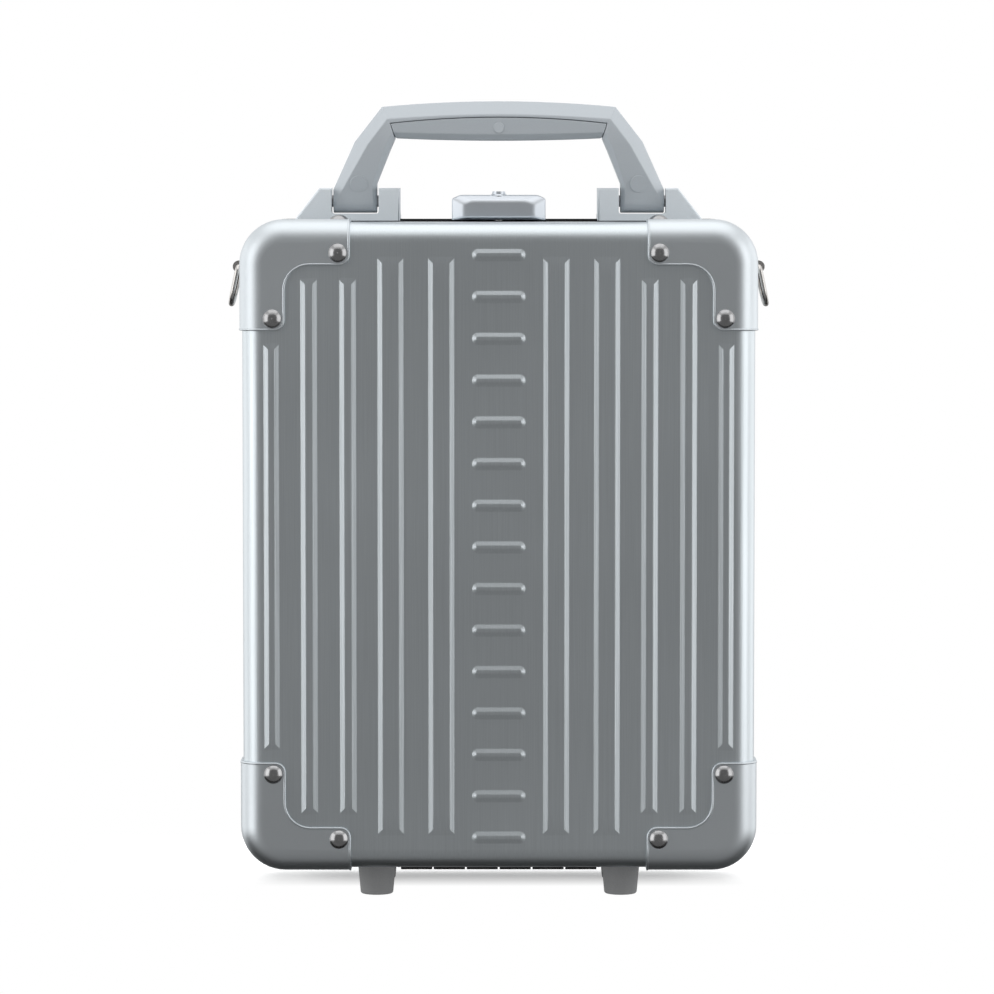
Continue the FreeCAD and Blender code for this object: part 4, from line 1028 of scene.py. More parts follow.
@dataclass
class CornerCap:
    """One riveted corner cap, an L-shaped pressing that wraps the edges of its corner."""

    case: CaseFrame
    half: Half
    level: Level
    side: Side
    sheet: float = 0.0014
    leg: float = 0.057
    width: float = 0.02365
    start: float = 0.0224
    inner_radius: float = 0.0126
    end_radius: float = 0.0052
    side_radius: float = 0.008
    rim: float = 0.0009
    skin_gap: float = 0.00005
    bead: float = 0.0006
    bead_sunk: float = 0.0002
    bead_sides: int = 10
    bead_reach: float = 80.0
    arc_steps: int = 8
    inner_steps: int = 10
    end_steps: int = 6

    def build(self, wardrobe: Wardrobe) -> None:
        """Make the cap at its corner.

        Args:
            wardrobe: Dresses the pieces.
        """
        case = self.case
        outer_x, face, outer_z = self.outer()
        end_x = outer_x - self.leg
        end_z = outer_z - self.leg
        inner_x = outer_x - self.width
        inner_z = outer_z - self.width
        bm = case.dish(-self.sheet, self.start, face, case.edge_radius + self.sheet)
        for way, end in ((Axis.X.way, end_x), (Axis.Z.way, end_z)):
            cut_away(bm, way * end, -way)
        for way, inner in ((Axis.X.way, inner_x), (Axis.Z.way, inner_z)):
            cut_cells(bm, level_faces(bm, Axis.Y, -face), way * inner, way)
        round_corner(bm, Vector((inner_x, -face, inner_z)), self.inner_radius, self.inner_steps)
        spare = min(bm.faces, key=lambda f: (f.calc_center_bounds() - Vector((end_x, -face, end_z))).length)
        bmesh.ops.delete(bm, geom=[spare], context="FACES")
        for place in (Vector((end_x, -face, inner_z)), Vector((inner_x, -face, end_z))):
            round_corner(bm, place, self.end_radius, self.end_steps)
        for place in (Vector((end_x, -self.start, outer_z)), Vector((outer_x, -self.start, end_z))):
            round_corner(bm, place, self.side_radius, self.end_steps)
        self.turn(bm)
        name = f"{self.half.word}_cap_{self.level.word}_{self.side.word}"
        cap = wardrobe.piece(f"pressed_{name}", bm, "cap_aluminium", self.half.body, name)
        thicken(cap, self.sheet - self.skin_gap, self.rim)
        wardrobe.piece(f"rolled_{name}", self.edging(), "cap_aluminium", self.half.body)

    def outer(self) -> tuple[float, float, float]:
        """Return how far the cap reaches across, to the front and up."""
        return self.case.half_width + self.sheet, self.case.face + self.sheet, self.case.top + self.sheet

    def turn(self, bm: Mesh) -> None:
        """Bring a mesh that was made at the lid's upper right corner to this cap's corner.

        Args:
            bm: Mesh that is shaped.
        """
        if self.side is Side.LEFT:
            reflect(bm, Axis.X)
        if self.level is Level.BOTTOM:
            reflect(bm, Axis.Z, self.case.middle)
        if self.half is Half.REAR:
            reflect(bm, Axis.Y)

    def arc(self, centre: tuple[float, float], radius: float, start: float,
            stop: float) -> list[tuple[float, float]]:
        """Divide an arc.

        Args:
            centre: Middle of the arc.
            radius: Its radius.
            start: First angle, in degrees.
            stop: Last angle, in degrees.

        Returns:
            Points along the arc.
        """
        shares = [step / self.arc_steps for step in range(self.arc_steps + 1)]
        angles = [math.radians(start + (stop - start) * share) for share in shares]
        return [(centre[0] + radius * math.cos(a), centre[1] + radius * math.sin(a)) for a in angles]

    def rim_path(self) -> list[tuple[Vector, Vector]]:
        """Follow the cap's free edge.

        Returns:
            Points along the edge, each with the way that the cap faces there.
        """
        outer_x, face, outer_z = self.outer()
        roll = self.case.edge_radius + self.sheet
        end_x, end_z = outer_x - self.leg + self.bead, outer_z - self.leg + self.bead
        inner_x, inner_z = outer_x - self.width + self.bead, outer_z - self.width + self.bead
        tight, wide = self.end_radius - self.bead, self.inner_radius + self.bead
        flat = self.arc((end_x + tight, inner_z + tight), tight, 180.0, 270.0)
        flat += self.arc((inner_x - wide, inner_z - wide), wide, 90.0, 0.0)
        flat += self.arc((inner_x + tight, end_z + tight), tight, 180.0, 270.0)
        rows = [(Vector((x, -face, z)), -Axis.Y.way) for x, z in flat]
        over = [(-(face - roll) - back, out) for back, out in self.arc((0.0, 0.0), roll, 0.0, self.bead_reach)]
        upper = [(Vector((end_x, y, outer_z - roll + out)), Vector((0.0, y + face - roll, out)).normalized())
                 for y, out in over]
        lower = [(Vector((outer_x - roll + out, y, end_z)), Vector((out, y + face - roll, 0.0)).normalized())
                 for y, out in over]
        return upper[::-1] + rows + lower

    def edging(self) -> Mesh:
        """Make the rolled bead along the cap's free edge.

        Returns:
            The bead, at this cap's corner.
        """
        rows = self.rim_path()
        rings = []
        for index, (place, normal) in enumerate(rows):
            before, after = rows[max(index - 1, 0)][0], rows[min(index + 1, len(rows) - 1)][0]
            across = (after - before).cross(normal).normalized()
            centre = place - normal * self.bead_sunk
            turns = [math.tau * step / self.bead_sides for step in range(self.bead_sides)]
            rings.append([tuple(centre + (across * math.cos(a) + normal * math.sin(a)) * self.bead) for a in turns])
        bm = bmesh.new()
        loft(bm, rings)
        outward(bm)
        self.turn(bm)
        return bm


def softened_copy(node: Piece, radius: float, degrees: float, shortest: float) -> Mesh:
    """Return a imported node's mesh with its hard edges rounded.

    Args:
        node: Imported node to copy.
        radius: Size of the rounding.
        degrees: Angle above which an edge counts as hard.
        shortest: Length below which an edge is left as it is.

    Returns:
        The rounded copy.
    """
    bm = bmesh.new()
    bm.from_mesh(node.data)
    bmesh.ops.remove_doubles(bm, verts=bm.verts, dist=2 * SAME)
    bmesh.ops.dissolve_limit(bm, angle_limit=math.radians(FLAT_DEGREES), verts=bm.verts, edges=bm.edges)
    bm.normal_update()
    round_edges(bm, [e for e in sharp_edges(bm, degrees) if e.calc_length() > shortest], radius, SOFT_STEPS)
    return bm


# Handle and latch

@dataclass
class CarryHandle:
    """The moulded handle: a bow on two legs, a grip let into its underside and round cover plugs."""

    pivot: float
    leg_out: float = 0.0862
    leg_in: float = 0.0634
    leg_half: float = 0.0061
    knee_outer: float = 0.006
    knee_inner: float = 0.009
    knee_half: float = 0.0072
    shoulder_x: float = 0.075
    shoulder_rise: float = 0.0308
    waist_x: float = 0.0565
    waist_rise: float = 0.0266
    grip_half: float = 0.012
    corner_x: float = 0.0608
    corner_rise: float = 0.049
    top_rise: float = 0.0519
    junction_x: float = 0.0538
    junction_rise: float = 0.0328
    under_rise: float = 0.0315
    bevel: float = 0.007
    bevel_deep: float = 0.0075
    root_share: float = 0.22
    knee_share: float = 0.75
    inner_edge: float = 0.003
    edge_parts: int = 3
    seam_x: float = 0.0565
    seam_rise: float = 0.0404
    seam_crown: float = 0.0436
    seam_gap: float = 0.0003
    softness: float = 0.0005
    bar_steps: int = 6
    heel_steps: int = 6
    heel_degrees: float = 84.0
    section_corners: int = 10
    seam_corner: int = 2
    sight: float = 1.0
    plug_x: float = 0.0729
    plug_rise: float = 0.0089
    plug_radius: float = 0.0046
    grip_plug_radius: float = 0.0028
    grip_plug_rise: float = 0.038
    plug_proud: float = 0.0004
    plug_round_share: float = 0.9
    plug_steps: int = 2
    plug_sides: int = 40

    def section(self, outer: Vector, inner: Vector, half: float, share: float, seam: Vector | None = None) -> Points:
        """Return the ten corners of the bow's section at a station.

        Args:
            outer: Outermost point of the station.
            inner: Innermost point of the station.
            half: Half depth of the station.
            share: Share of the full bevel.
            seam: Where the grip's seam meets the station.

        Returns:
            Corners from the outer edge round the front and back.
        """
        inward = (inner - outer).normalized()
        crease = outer + inward * (self.bevel * share)
        narrow = min(self.inner_edge, half / self.edge_parts)
        edge = inner - inward * narrow
        flat = half - self.bevel_deep * share * half / self.grip_half
        lower = half - narrow
        middle = seam if seam is not None else (crease + edge) / 2
        rows = [(outer, flat), (crease, half), (middle, half), (edge, half), (inner, lower)]
        front = [(p.x, -depth, self.pivot + p.z) for p, depth in rows]
        back = [(p.x, depth, self.pivot + p.z) for p, depth in reversed(rows)]
        return front + back

    def leg_sections(self) -> list[Points]:
        """Shape the right leg.

        Returns:
            Its sections, from the heel to the seam of the grip.
        """
        rows = []
        for step in range(self.heel_steps):
            angle = math.radians(-self.heel_degrees + self.heel_degrees * step / self.heel_steps)
            drop = self.leg_half * math.sin(angle)
            half = self.leg_half * math.cos(angle)
            rows.append(((self.leg_out, drop), (self.leg_in, drop), half, self.root_share))
        rows += [((self.leg_out, 0), (self.leg_in, 0), self.leg_half, self.root_share),
                 ((self.leg_out, self.knee_outer), (self.leg_in, self.knee_inner), self.knee_half, self.knee_share),
                 ((self.shoulder_x, self.shoulder_rise), (self.waist_x, self.waist_rise), self.grip_half, 1.0)]
        legs = [self.section(Vector((outer[0], 0, outer[1])), Vector((inner[0], 0, inner[1])), half, share)
                for outer, inner, half, share in rows]
        return legs + [self.section(*self.bar_station(1.0))]

    def bar_station(self, share: float) -> tuple[Vector, Vector, float, float, Vector]:
        """Place a station of the bar.

        Args:
            share: Share of the way from the middle to the bar's right end.

        Returns:
            Outer point, inner point, half depth, share of the bevel and point of the seam.
        """
        outer = Vector((self.corner_x * share, 0, self.top_rise - (self.top_rise - self.corner_rise) * share ** 2))
        inner = Vector((self.junction_x * share, 0,
                        self.under_rise + (self.junction_rise - self.under_rise) * share ** 2))
        seam = Vector((self.seam_x * share, 0, self.seam_crown - (self.seam_crown - self.seam_rise) * share ** 2))
        return outer, inner, self.grip_half, 1.0, seam

    def bow(self) -> Mesh:
        """Make the bow.

        Returns:
            A closed moulding, with room for the grip under its bar.
        """
        bm = bmesh.new()
        for sign in (1, -1):
            rows = [[(sign * x, y, z) for x, y, z in points] for points in self.leg_sections()]
            loft(bm, rows, closed=True)
        shares = [step / self.bar_steps for step in range(-self.bar_steps, self.bar_steps + 1)]
        upper = [self.section(*self.bar_station(share)) for share in shares]
        kept = self.seam_corner + 1
        loft(bm, [points[:kept] + points[-kept:] for points in upper], closed=False)
        bmesh.ops.remove_doubles(bm, verts=bm.verts, dist=SAME)
        self.open_junctions(bm)
        outward(bm)
        round_edges(bm, sharp_edges(bm, CREASE_DEGREES), self.softness, SOFT_STEPS)
        return bm

    def open_junctions(self, bm: Mesh) -> None:
        """Leave each leg's end closed only below the seam, where the bar goes on above it.

        Args:
            bm: Mesh that is shaped.
        """
        for sign in (1, -1):
            ends = [f for f in bm.faces if len(f.verts) == self.section_corners
                    and f.calc_center_bounds().z > self.pivot + self.knee_inner
                    and f.calc_center_bounds().x * sign > 0]
            for end in ends:
                level = self.pivot + self.seam_rise + SAME
                below = [v for v in end.verts if v.co.z < level]
                bmesh.ops.delete(bm, geom=[end], context="FACES_ONLY")
                bmesh.ops.contextual_create(bm, geom=below)

    def grip(self) -> Mesh:
        """Make the grip that fills the bar's underside between the legs.

        Returns:
            A closed moulding.
        """
        reach = 1 - self.seam_gap / self.seam_x
        shares = [reach * step / self.bar_steps for step in range(-self.bar_steps, self.bar_steps + 1)]
        rows = []
        for share in shares:
            points = self.section(*self.bar_station(share))[self.seam_corner:-self.seam_corner]
            first, last = [(x, y, z - self.seam_gap) for x, y, z in (points[0], points[-1])]
            rows.append([first] + points[1:-1] + [last])
        bm = bmesh.new()
        loft(bm, rows)
        outward(bm)
        round_edges(bm, sharp_edges(bm, CREASE_DEGREES), self.softness, SOFT_STEPS)
        return bm

    def plug(self, carrier: Piece, x: float, rise: float, radius: float) -> Mesh:
        """Return one cover plug, lying on the front of the piece that carries it.

        Args:
            carrier: The bow or the grip.
            x: Place of the plug across.
            rise: Height of the plug above the pivot.
            radius: Radius of the plug.

        Returns:
            A thin round disc.
        """
        start = Vector((x, -self.sight, self.pivot + rise))
        _, place, normal, _ = carrier.ray_cast(start, Axis.Y.way)
        bm = bmesh.new()
        turn = Matrix.Translation(place) @ normal.to_track_quat("Z", "Y").to_matrix().to_4x4()
        bmesh.ops.create_cone(bm, cap_ends=True, segments=self.plug_sides, radius1=radius, radius2=radius,
                              depth=2 * self.plug_proud, matrix=turn)
        bm.normal_update()
        round_edges(bm, sharp_edges(bm, RIM_DEGREES), self.plug_proud * self.plug_round_share, self.plug_steps)
        return bm

    def build(self, wardrobe: Wardrobe) -> None:
        """Make the handle's three mouldings.

        Args:
            wardrobe: Dresses the pieces.
        """
        bow = wardrobe.piece("moulded_bow", self.bow(), "handle_plastic", "handle", "handle_bow")
        grip = wardrobe.piece("moulded_grip", self.grip(), "grip_plastic", "handle", "handle_grip")
        bpy.context.view_layer.update()
        rows = [(bow, -self.plug_x, self.plug_rise, self.plug_radius),
                (bow, self.plug_x, self.plug_rise, self.plug_radius),
                (grip, 0.0, self.grip_plug_rise, self.grip_plug_radius)]
        whole = bmesh.new()
        for row in rows:
            add_mesh(whole, self.plug(*row))
        plugs = wardrobe.piece("cover_plugs", whole, "handle_plastic", "handle", "handle_plugs")
        for piece in (bow, grip, plugs):
            level_shading(piece)


@dataclass
class HandleBrackets:
    """The two moulded brackets that carry the handle's pins."""

    softness: float = 0.0008
    shortest: float = 0.0025

    def build(self, wardrobe: Wardrobe, frame: dict) -> None:
        """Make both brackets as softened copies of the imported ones.

        Args:
            wardrobe: Dresses the pieces.
            frame: The loaded frame.
        """
        for side in Side:
            name = f"handle_bracket_{side.word}"
            bm = softened_copy(frame["nodes"][name], self.softness, MOULDING_DEGREES, self.shortest)
            level_shading(wardrobe.piece(f"moulded_{name}", bm, "bracket_plastic", "rear_case", name))


@dataclass
class LatchLever:
    """The folded latch lever with its bevelled nose and the raised ring round its button."""

    top: float
    button_y: float
    half_width: float = 0.0243
    lift: float = 0.0009
    rise: float = 0.0139
    front: float = 0.0185
    rear: float = 0.0215
    nose: float = 0.0032
    chin: float = 0.0125
    side_bevel: float = 0.0064
    top_bevel: float = 0.0033
    bottom_bevel: float = 0.0015
    corner_x: float = 0.0042
    corner_z: float = 0.0019
    step_y: float = 0.001
    step_run: float = 0.00005
    step_rise: float = 0.0024
    rear_slope: float = 0.002
    wall: float = 0.0018
    cut_edge: float = 0.0002
    heel_rows: tuple[tuple[float, float], ...] = (
        (0.0105, 0.0024), (0.0118, 0.0015), (0.0135, 0.0008), (0.016, 0.0005), (0.0185, 0.0011))
    heel_end: float = 0.0024
    rear_low: float = 0.0058
    softness: float = 0.0008
    nose_softness: float = 0.0014
    nose_steps: int = 5
    foot_rows: int = 3
    bore: float = 0.0035
    hole_margin: float = 0.0004
    fairing_radius: float = 0.0046
    fairing_height: float = 0.0004
    fairing_lip: float = 0.0004
    fairing_sides: int = 48

    def outline(self, y: float, low: float, side_in: float = 0.0, top_in: float = 0.0) -> Points:
        """Return the open outline of the lever at one depth, from its right foot over the top to its left foot.

        Args:
            y: Depth of the outline.
            low: Height of its feet over the case.
            side_in: How far the sides are drawn in.
            top_in: How far the top is drawn in.

        Returns:
            Six corners.
        """
        side = self.half_width - side_in
        high = self.top + self.rise - top_in
        half = [(side, self.top + low), (side, high - self.corner_z), (side - self.corner_x, high)]
        return [(x, y, z) for x, z in half] + [(-x, y, z) for x, z in reversed(half)]

    def hood(self) -> Mesh:
        """Make the lever's outer sheet, with its rounded nose and the hole for the button.

        Returns:
            A single sheet, open below.
        """
        rows = [
            self.outline(-self.front, self.lift + self.bottom_bevel, self.side_bevel, self.top_bevel),
            self.outline(self.nose - self.front, self.lift),
            self.outline(-self.chin, self.lift),
            self.outline(-self.step_y, self.lift),
            self.outline(self.step_run - self.step_y, self.step_rise),
        ]
        rows += [self.outline(y, low) for y, low in self.heel_rows]
        rows.append(self.outline(self.rear - self.rear_slope, self.heel_end))
        rows.append(self.outline(self.rear, self.rear_low, 0.0, self.rear_slope))
        bm = bmesh.new()
        loops = [chain(bm, points) for points in rows]
        for before, after in zip(loops, loops[1:]):
            bmesh.ops.bridge_loops(bm, edges=before + after)
        for end in (loops[0], loops[-1]):
            bmesh.ops.contextual_create(bm, geom=list({v for e in end for v in e.verts}))
        feet = [[loop[0].verts[0], loop[-1].verts[1]] for loop in loops[:self.foot_rows]]
        for before, after in zip(feet, feet[1:]):
            bmesh.ops.contextual_create(bm, geom=before + after)
        outward(bm)
        foot = self.top + self.lift + self.bottom_bevel
        nose = [e for e in bm.edges if lies_at(e, Axis.Y, -self.front)
                and max(v.co.z for v in e.verts) > foot + SAME]
        round_edges(bm, nose, self.nose_softness, self.nose_steps)
        round_edges(bm, sharp_edges(bm, CREASE_DEGREES), self.softness, SOFT_STEPS)
        place = Vector((0.0, self.button_y, self.top + self.rise))
        pierce_top(bm, place, self.bore, self.bore + self.hole_margin)
        return bm

    def fairing(self) -> Mesh:
        """Make the raised ring round the button.

        Returns:
            The ring, turned about the button's axis.
        """
        bm = bmesh.new()
        level = self.top + self.rise
        rows = [(self.bore, -self.wall), (self.bore, self.fairing_height),
                (self.bore + self.fairing_lip, self.fairing_height),
                (self.fairing_radius, -self.fairing_height), (self.fairing_radius, -self.wall)]
        profile = chain(bm, [(radius, self.button_y, level + rise) for radius, rise in rows])
        verts = {v for e in profile for v in e.verts}
        bmesh.ops.spin(bm, geom=list(verts) + profile, cent=(0.0, self.button_y, level), axis=Axis.Z.way,
                       angle=math.tau, steps=self.fairing_sides, use_merge=True)
        outward(bm)
        return bm

    def build(self, wardrobe: Wardrobe) -> None:
        """Make the lever.

        Args:
            wardrobe: Dresses the pieces.
        """
        lever = wardrobe.piece("folded_lever", self.hood(), "latch_metal", "latch", "latch_lever")
        thicken(lever, self.wall, self.cut_edge)
        wardrobe.piece("button_ring", self.fairing(), "latch_metal", "latch")


# Interior

def soft_sheet(low: Vector, high: Vector, crown: Callable[[float, float], float], cells: tuple[int, int],
               wall: float, facing: Half) -> Mesh:
    """Make a crowned cloth panel that faces into the case.

    Args:
        low: Lowest corner of its place, with the depth of its sewn edges.
        high: Highest corner of its place.
        crown: Gives how far it stands off at a place of -1 to 1 across and 0 to 1 up.
        cells: Faces across and up.
        wall: Thickness of the cloth.
        facing: Half that the panel is sewn into.

    Returns:
        A closed panel.
    """
    bm = bmesh.new()
    size = Vector((high.x - low.x, high.z - low.z, 0.0))
    turn = Matrix.Rotation(math.pi / 2, 4, "X")
    middle = Matrix.Translation(((low.x + high.x) / 2, low.y, (low.z + high.z) / 2))
    shape = Matrix.Diagonal((size.x / 2, size.y / 2, 1.0, 1.0))
    bmesh.ops.create_grid(bm, x_segments=cells[0], y_segments=cells[1], size=1.0, matrix=middle @ turn @ shape)
    for vert in bm.verts:
        across = 2 * (vert.co.x - low.x) / size.x - 1
        up = (vert.co.z - low.z) / size.y
        vert.co.y -= facing.value * (wall + crown(across, up))
    want = -facing.value
    wrong = [f for f in bm.faces if f.normal.y * want < 0]
    bmesh.ops.reverse_faces(bm, faces=wrong)
    bm.normal_update()
    bmesh.ops.solidify(bm, geom=bm.faces, thickness=wall)
    bmesh.ops.recalc_face_normals(bm, faces=bm.faces)
    bm.normal_update()
    round_edges(bm, sharp_edges(bm, CLOTH_DEGREES), wall * CLOTH_ROUND_SHARE, CLOTH_STEPS)
    return bm


def pocket_crown(height: float) -> Callable[[float, float], float]:
    """Shape a pocket that is sewn at its sides and bottom and gapes a little at its mouth.

    Args:
        height: How far it stands off in its middle.

    Returns:
        The stand-off at a place across and up.
    """
    def crown(across: float, up: float) -> float:
        """Return the stand-off at one place."""
        return height * (1 - across ** 4) * min(1.0, up / SEWN_SHARE) ** 0.5

    return crown


@dataclass
class PaddedLining:
    """The quilted lining of one half, with sewn channels in its floor."""

    case: CaseFrame
    half: Half
    inset: float
    rim: float
    face: float = 0.0532
    edge_radius: float = 0.007
    wall: float = 0.002
    channels: tuple[int, int] = (4, 5)
    sewn_width: float = 0.0016
    pillow: float = 0.0009
    softness: float = 0.0007
    cut_edge: float = 0.0006
    fill: float = 0.3

    def build(self, wardrobe: Wardrobe) -> None:
        """Make the lining.

        Args:
            wardrobe: Dresses the pieces.
        """
        bm = self.case.dish(self.inset, self.rim, self.face, self.edge_radius)
        for axis, count in zip((Axis.X, Axis.Z), self.channels):
            self.divide(bm, axis, count)
        cells = self.floor_cells(bm)
        bmesh.ops.inset_individual(bm, faces=cells, thickness=self.sewn_width, depth=-self.pillow,
                                   use_even_offset=True)
        flanks = {f for cell in cells for e in cell.edges for f in e.link_faces if f is not cell}
        edges = {e for f in flanks for e in f.edges if not all(g in flanks for g in e.link_faces)}
        round_edges(bm, edges, self.softness, CLOTH_STEPS)
        if self.half is Half.REAR:
            reflect(bm, Axis.Y)
        name = f"{self.half.word}_lining"
        lining = wardrobe.piece(f"quilted_{name}", bm, "lining_fabric", self.half.body, name)
        thicken(lining, self.wall, self.cut_edge)

    def floor_cells(self, bm: Mesh) -> list[Face]:
        """Return the flat faces of the floor."""
        return level_faces(bm, Axis.Y, -self.face)

    def divide(self, bm: Mesh, axis: Axis, count: int) -> None:
        """Divide the floor into equal channels along an axis.

        Args:
            bm: Mesh that is shaped.
            axis: Axis that the channels are counted along.
            count: Number of channels.
        """
        half = self.case.half_width if axis is Axis.X else self.case.half_height
        middle = 0.0 if axis is Axis.X else self.case.middle
        for index in range(1, count):
            level = middle + half * (2 * index / count - 1)
            cut_cells(bm, self.floor_cells(bm), axis.way * level, axis.way)


@dataclass
class Organiser:
    """The lid's organiser: a bound panel with a document pocket, two card pockets and three pen loops."""

    panel_corner: float = 0.01
    corner_steps: int = 8
    panel_fill: float = 0.4
    pocket_fill: float = 0.1
    pocket_cells: tuple[int, int] = (24, 18)
    hem_cells: tuple[int, int] = (24, 3)
    binding: float = 0.004
    groove: float = 0.0009
    cloth: float = 0.0014
    hem: float = 0.011
    hem_cloth: float = 0.0007
    document_crown: float = 0.0024
    card_crown: float = 0.0018
    loop_places: tuple[float, ...] = (-0.015, 0.0, 0.015)
    loop_radius: float = 0.0054
    loop_wall: float = 0.0011
    loop_sides: int = 36
    band_wall: float = 0.0008

    def panel(self, wardrobe: Wardrobe) -> None:
        """Make the bound backing panel.

        Args:
            wardrobe: Dresses the pieces.
        """
        low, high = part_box("organiser_panel")
        bm = block(low, high)
        round_edges(bm, [e for e in bm.edges if runs_along(e, Axis.Y)], self.panel_corner, self.corner_steps)
        face = max(bm.faces, key=lambda f: f.calc_center_bounds().y)
        for inset, depth in ((self.binding, 0.0), (self.groove, -self.groove), (self.groove, self.groove / 2)):
            bmesh.ops.inset_region(bm, faces=[face], thickness=inset, depth=depth, use_even_offset=True)
        bm.normal_update()
        round_edges(bm, sharp_edges(bm, CLOTH_DEGREES), self.groove / 3, CLOTH_STEPS)
        piece = wardrobe.piece("bound_panel", bm, "organiser_fabric", "lid", "organiser_panel")
        level_shading(piece)

    def pocket(self, wardrobe: Wardrobe, node: str, crown: float) -> None:
        """Make one pocket with the folded hem of its mouth.

        Args:
            wardrobe: Dresses the piece.
            node: Packed pocket that it stands for.
            crown: How far the pocket stands off in its middle.
        """
        low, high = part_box(node)
        shape = pocket_crown(crown)
        whole = soft_sheet(low, high, shape, self.pocket_cells, self.cloth, Half.FRONT)
        foot = Vector((low.x, low.y + self.cloth, high.z - self.hem))
        share = self.hem / (high.z - low.z)
        mouth = soft_sheet(foot, high, lambda across, up: shape(across, 1 - share * (1 - up)), self.hem_cells,
                           self.hem_cloth, Half.FRONT)
        add_mesh(whole, mouth)
        piece = wardrobe.piece(f"sewn_{node}", whole, "organiser_fabric", "lid", node)

    def pen_loops(self, wardrobe: Wardrobe) -> None:
        """Make the elastic band and its three loops.

        Args:
            wardrobe: Dresses the pieces.
        """
        low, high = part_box("pen_loops")
        centre_y = (low.y + high.y) / 2
        whole = block(low, Vector((high.x, low.y + self.band_wall, high.z)))
        for place in self.loop_places:
            bm = bmesh.new()
            spot = Matrix.Translation((place, centre_y, low.z))
            bmesh.ops.create_circle(bm, segments=self.loop_sides, radius=self.loop_radius, matrix=spot)
            raised = bmesh.ops.extrude_edge_only(bm, edges=list(bm.edges))["geom"]
            verts = [g for g in raised if isinstance(g, bmesh.types.BMVert)]
            bmesh.ops.translate(bm, verts=verts, vec=(0.0, 0.0, high.z - low.z))
            bmesh.ops.recalc_face_normals(bm, faces=bm.faces)
            bmesh.ops.solidify(bm, geom=bm.faces, thickness=self.loop_wall)
            outward(bm)
            add_mesh(whole, bm)
        wardrobe.piece("elastic_loops", whole, "webbing", "lid", "pen_loops")

    def build(self, wardrobe: Wardrobe) -> None:
        """Make the whole organiser.

        Args:
            wardrobe: Dresses the pieces.
        """
        self.panel(wardrobe)
        self.pocket(wardrobe, "document_pocket", self.document_crown)
        for side in Side:
            self.pocket(wardrobe, f"card_pocket_{side.word}", self.card_crown)
        self.pen_loops(wardrobe)


@dataclass
class PackingStraps:
    """The two webbing straps in the rear half and the side-release buckle that joins them."""

    web: float = 0.0013
    slack: float = 0.0012
    patch: float = 0.018
    patch_wall: float = 0.0009
    patch_lift: float = 0.0003
    web_cells: tuple[int, int] = (30, 2)
    patch_cells: tuple[int, int] = (6, 4)
    socket_share: float = 0.62
    seam: float = 0.0012
    taper: float = 0.003
    softness: float = 0.0012
    prong_proud: float = 0.0012
    prong_round_share: float = 0.6
    prong_low: float = -0.011
    prong_high: float = 0.004
    prong_wide: float = 0.0036

    def strap(self, wardrobe: Wardrobe, node: str) -> None:
        """Make one strap with the sewn patch at its outer end.

        Args:
            wardrobe: Dresses the piece.
            node: Packed strap that it stands for.
        """
        low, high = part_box(node)
        sewn = Vector((low.x, high.y, low.z))
        web = soft_sheet(sewn, high, lambda across, up: self.slack * (1 - across ** 2), self.web_cells,
                         self.web, Half.REAR)
        right = low.x > 0
        patch_low = Vector((high.x - self.patch if right else low.x, high.y - self.web, low.z))
        patch_high = Vector((high.x if right else low.x + self.patch, high.y, high.z))
        fold = soft_sheet(patch_low, patch_high, lambda across, up: self.patch_lift, self.patch_cells,
                          self.patch_wall, Half.REAR)
        piece = wardrobe.piece(f"sewn_{node}", web, "webbing", "rear_case", node)
        patch = wardrobe.piece(f"patch_{node}", fold, "webbing", "rear_case")

    def buckle(self, wardrobe: Wardrobe) -> None:
        """Make the buckle's socket, plug and side prongs.

        Args:
            wardrobe: Dresses the pieces.
        """
        low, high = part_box("strap_buckle")
        split = low.x + (high.x - low.x) * self.socket_share
        whole = self.shell(low, Vector((split, high.y, high.z)), self.taper, 0.0)
        add_mesh(whole, self.shell(Vector((split + self.seam, low.y, low.z)), high, 0.0, self.taper))
        middle = (low.y + high.y) / 2
        for level in (low.z, high.z):
            start = Vector((self.prong_low, middle - self.prong_wide / 2, level - self.prong_proud))
            end = Vector((self.prong_high, middle + self.prong_wide / 2, level + self.prong_proud))
            prong = block(start, end)
            round_edges(prong, list(prong.edges), self.prong_proud * self.prong_round_share, SOFT_STEPS)
            add_mesh(whole, prong)
        level_shading(wardrobe.piece("release_buckle", whole, "buckle_plastic", "rear_case", "strap_buckle"))

    def shell(self, low: Vector, high: Vector, left_in: float, right_in: float) -> Mesh:
        """Return one rounded half of the buckle, drawn in at its strap end.

        Args:
            low: Lowest corner.
            high: Highest corner.
            left_in: How far the left end is drawn in.
            right_in: How far the right end is drawn in.

        Returns:
            The half.
        """
        bm = block(low, high)
        for place, inward in ((low.x, left_in), (high.x, right_in)):
            end = [v for v in bm.verts if abs(v.co.x - place) < SAME]
            for sign, level in ((1, low.z), (-1, high.z)):
                row = [v for v in end if abs(v.co.z - level) < SAME]
                bmesh.ops.translate(bm, verts=row, vec=(0.0, 0.0, sign * inward))
            bmesh.ops.translate(bm, verts=[v for v in end if v.co.y < high.y - SAME], vec=(0.0, inward, 0.0))
        bm.normal_update()
        round_edges(bm, list(bm.edges), self.softness, SOFT_STEPS)
        return bm

    def build(self, wardrobe: Wardrobe) -> None:
        """Make both straps and the buckle.

        Args:
            wardrobe: Dresses the pieces.
        """
        for side in Side:
            self.strap(wardrobe, f"packing_strap_{side.word}")
        self.buckle(wardrobe)


# Studio

AIM = Vector((-0.0009, -0.056, 0.2083))
CAMERA_PLACE = Vector((-0.0009, -2.456, 0.355))


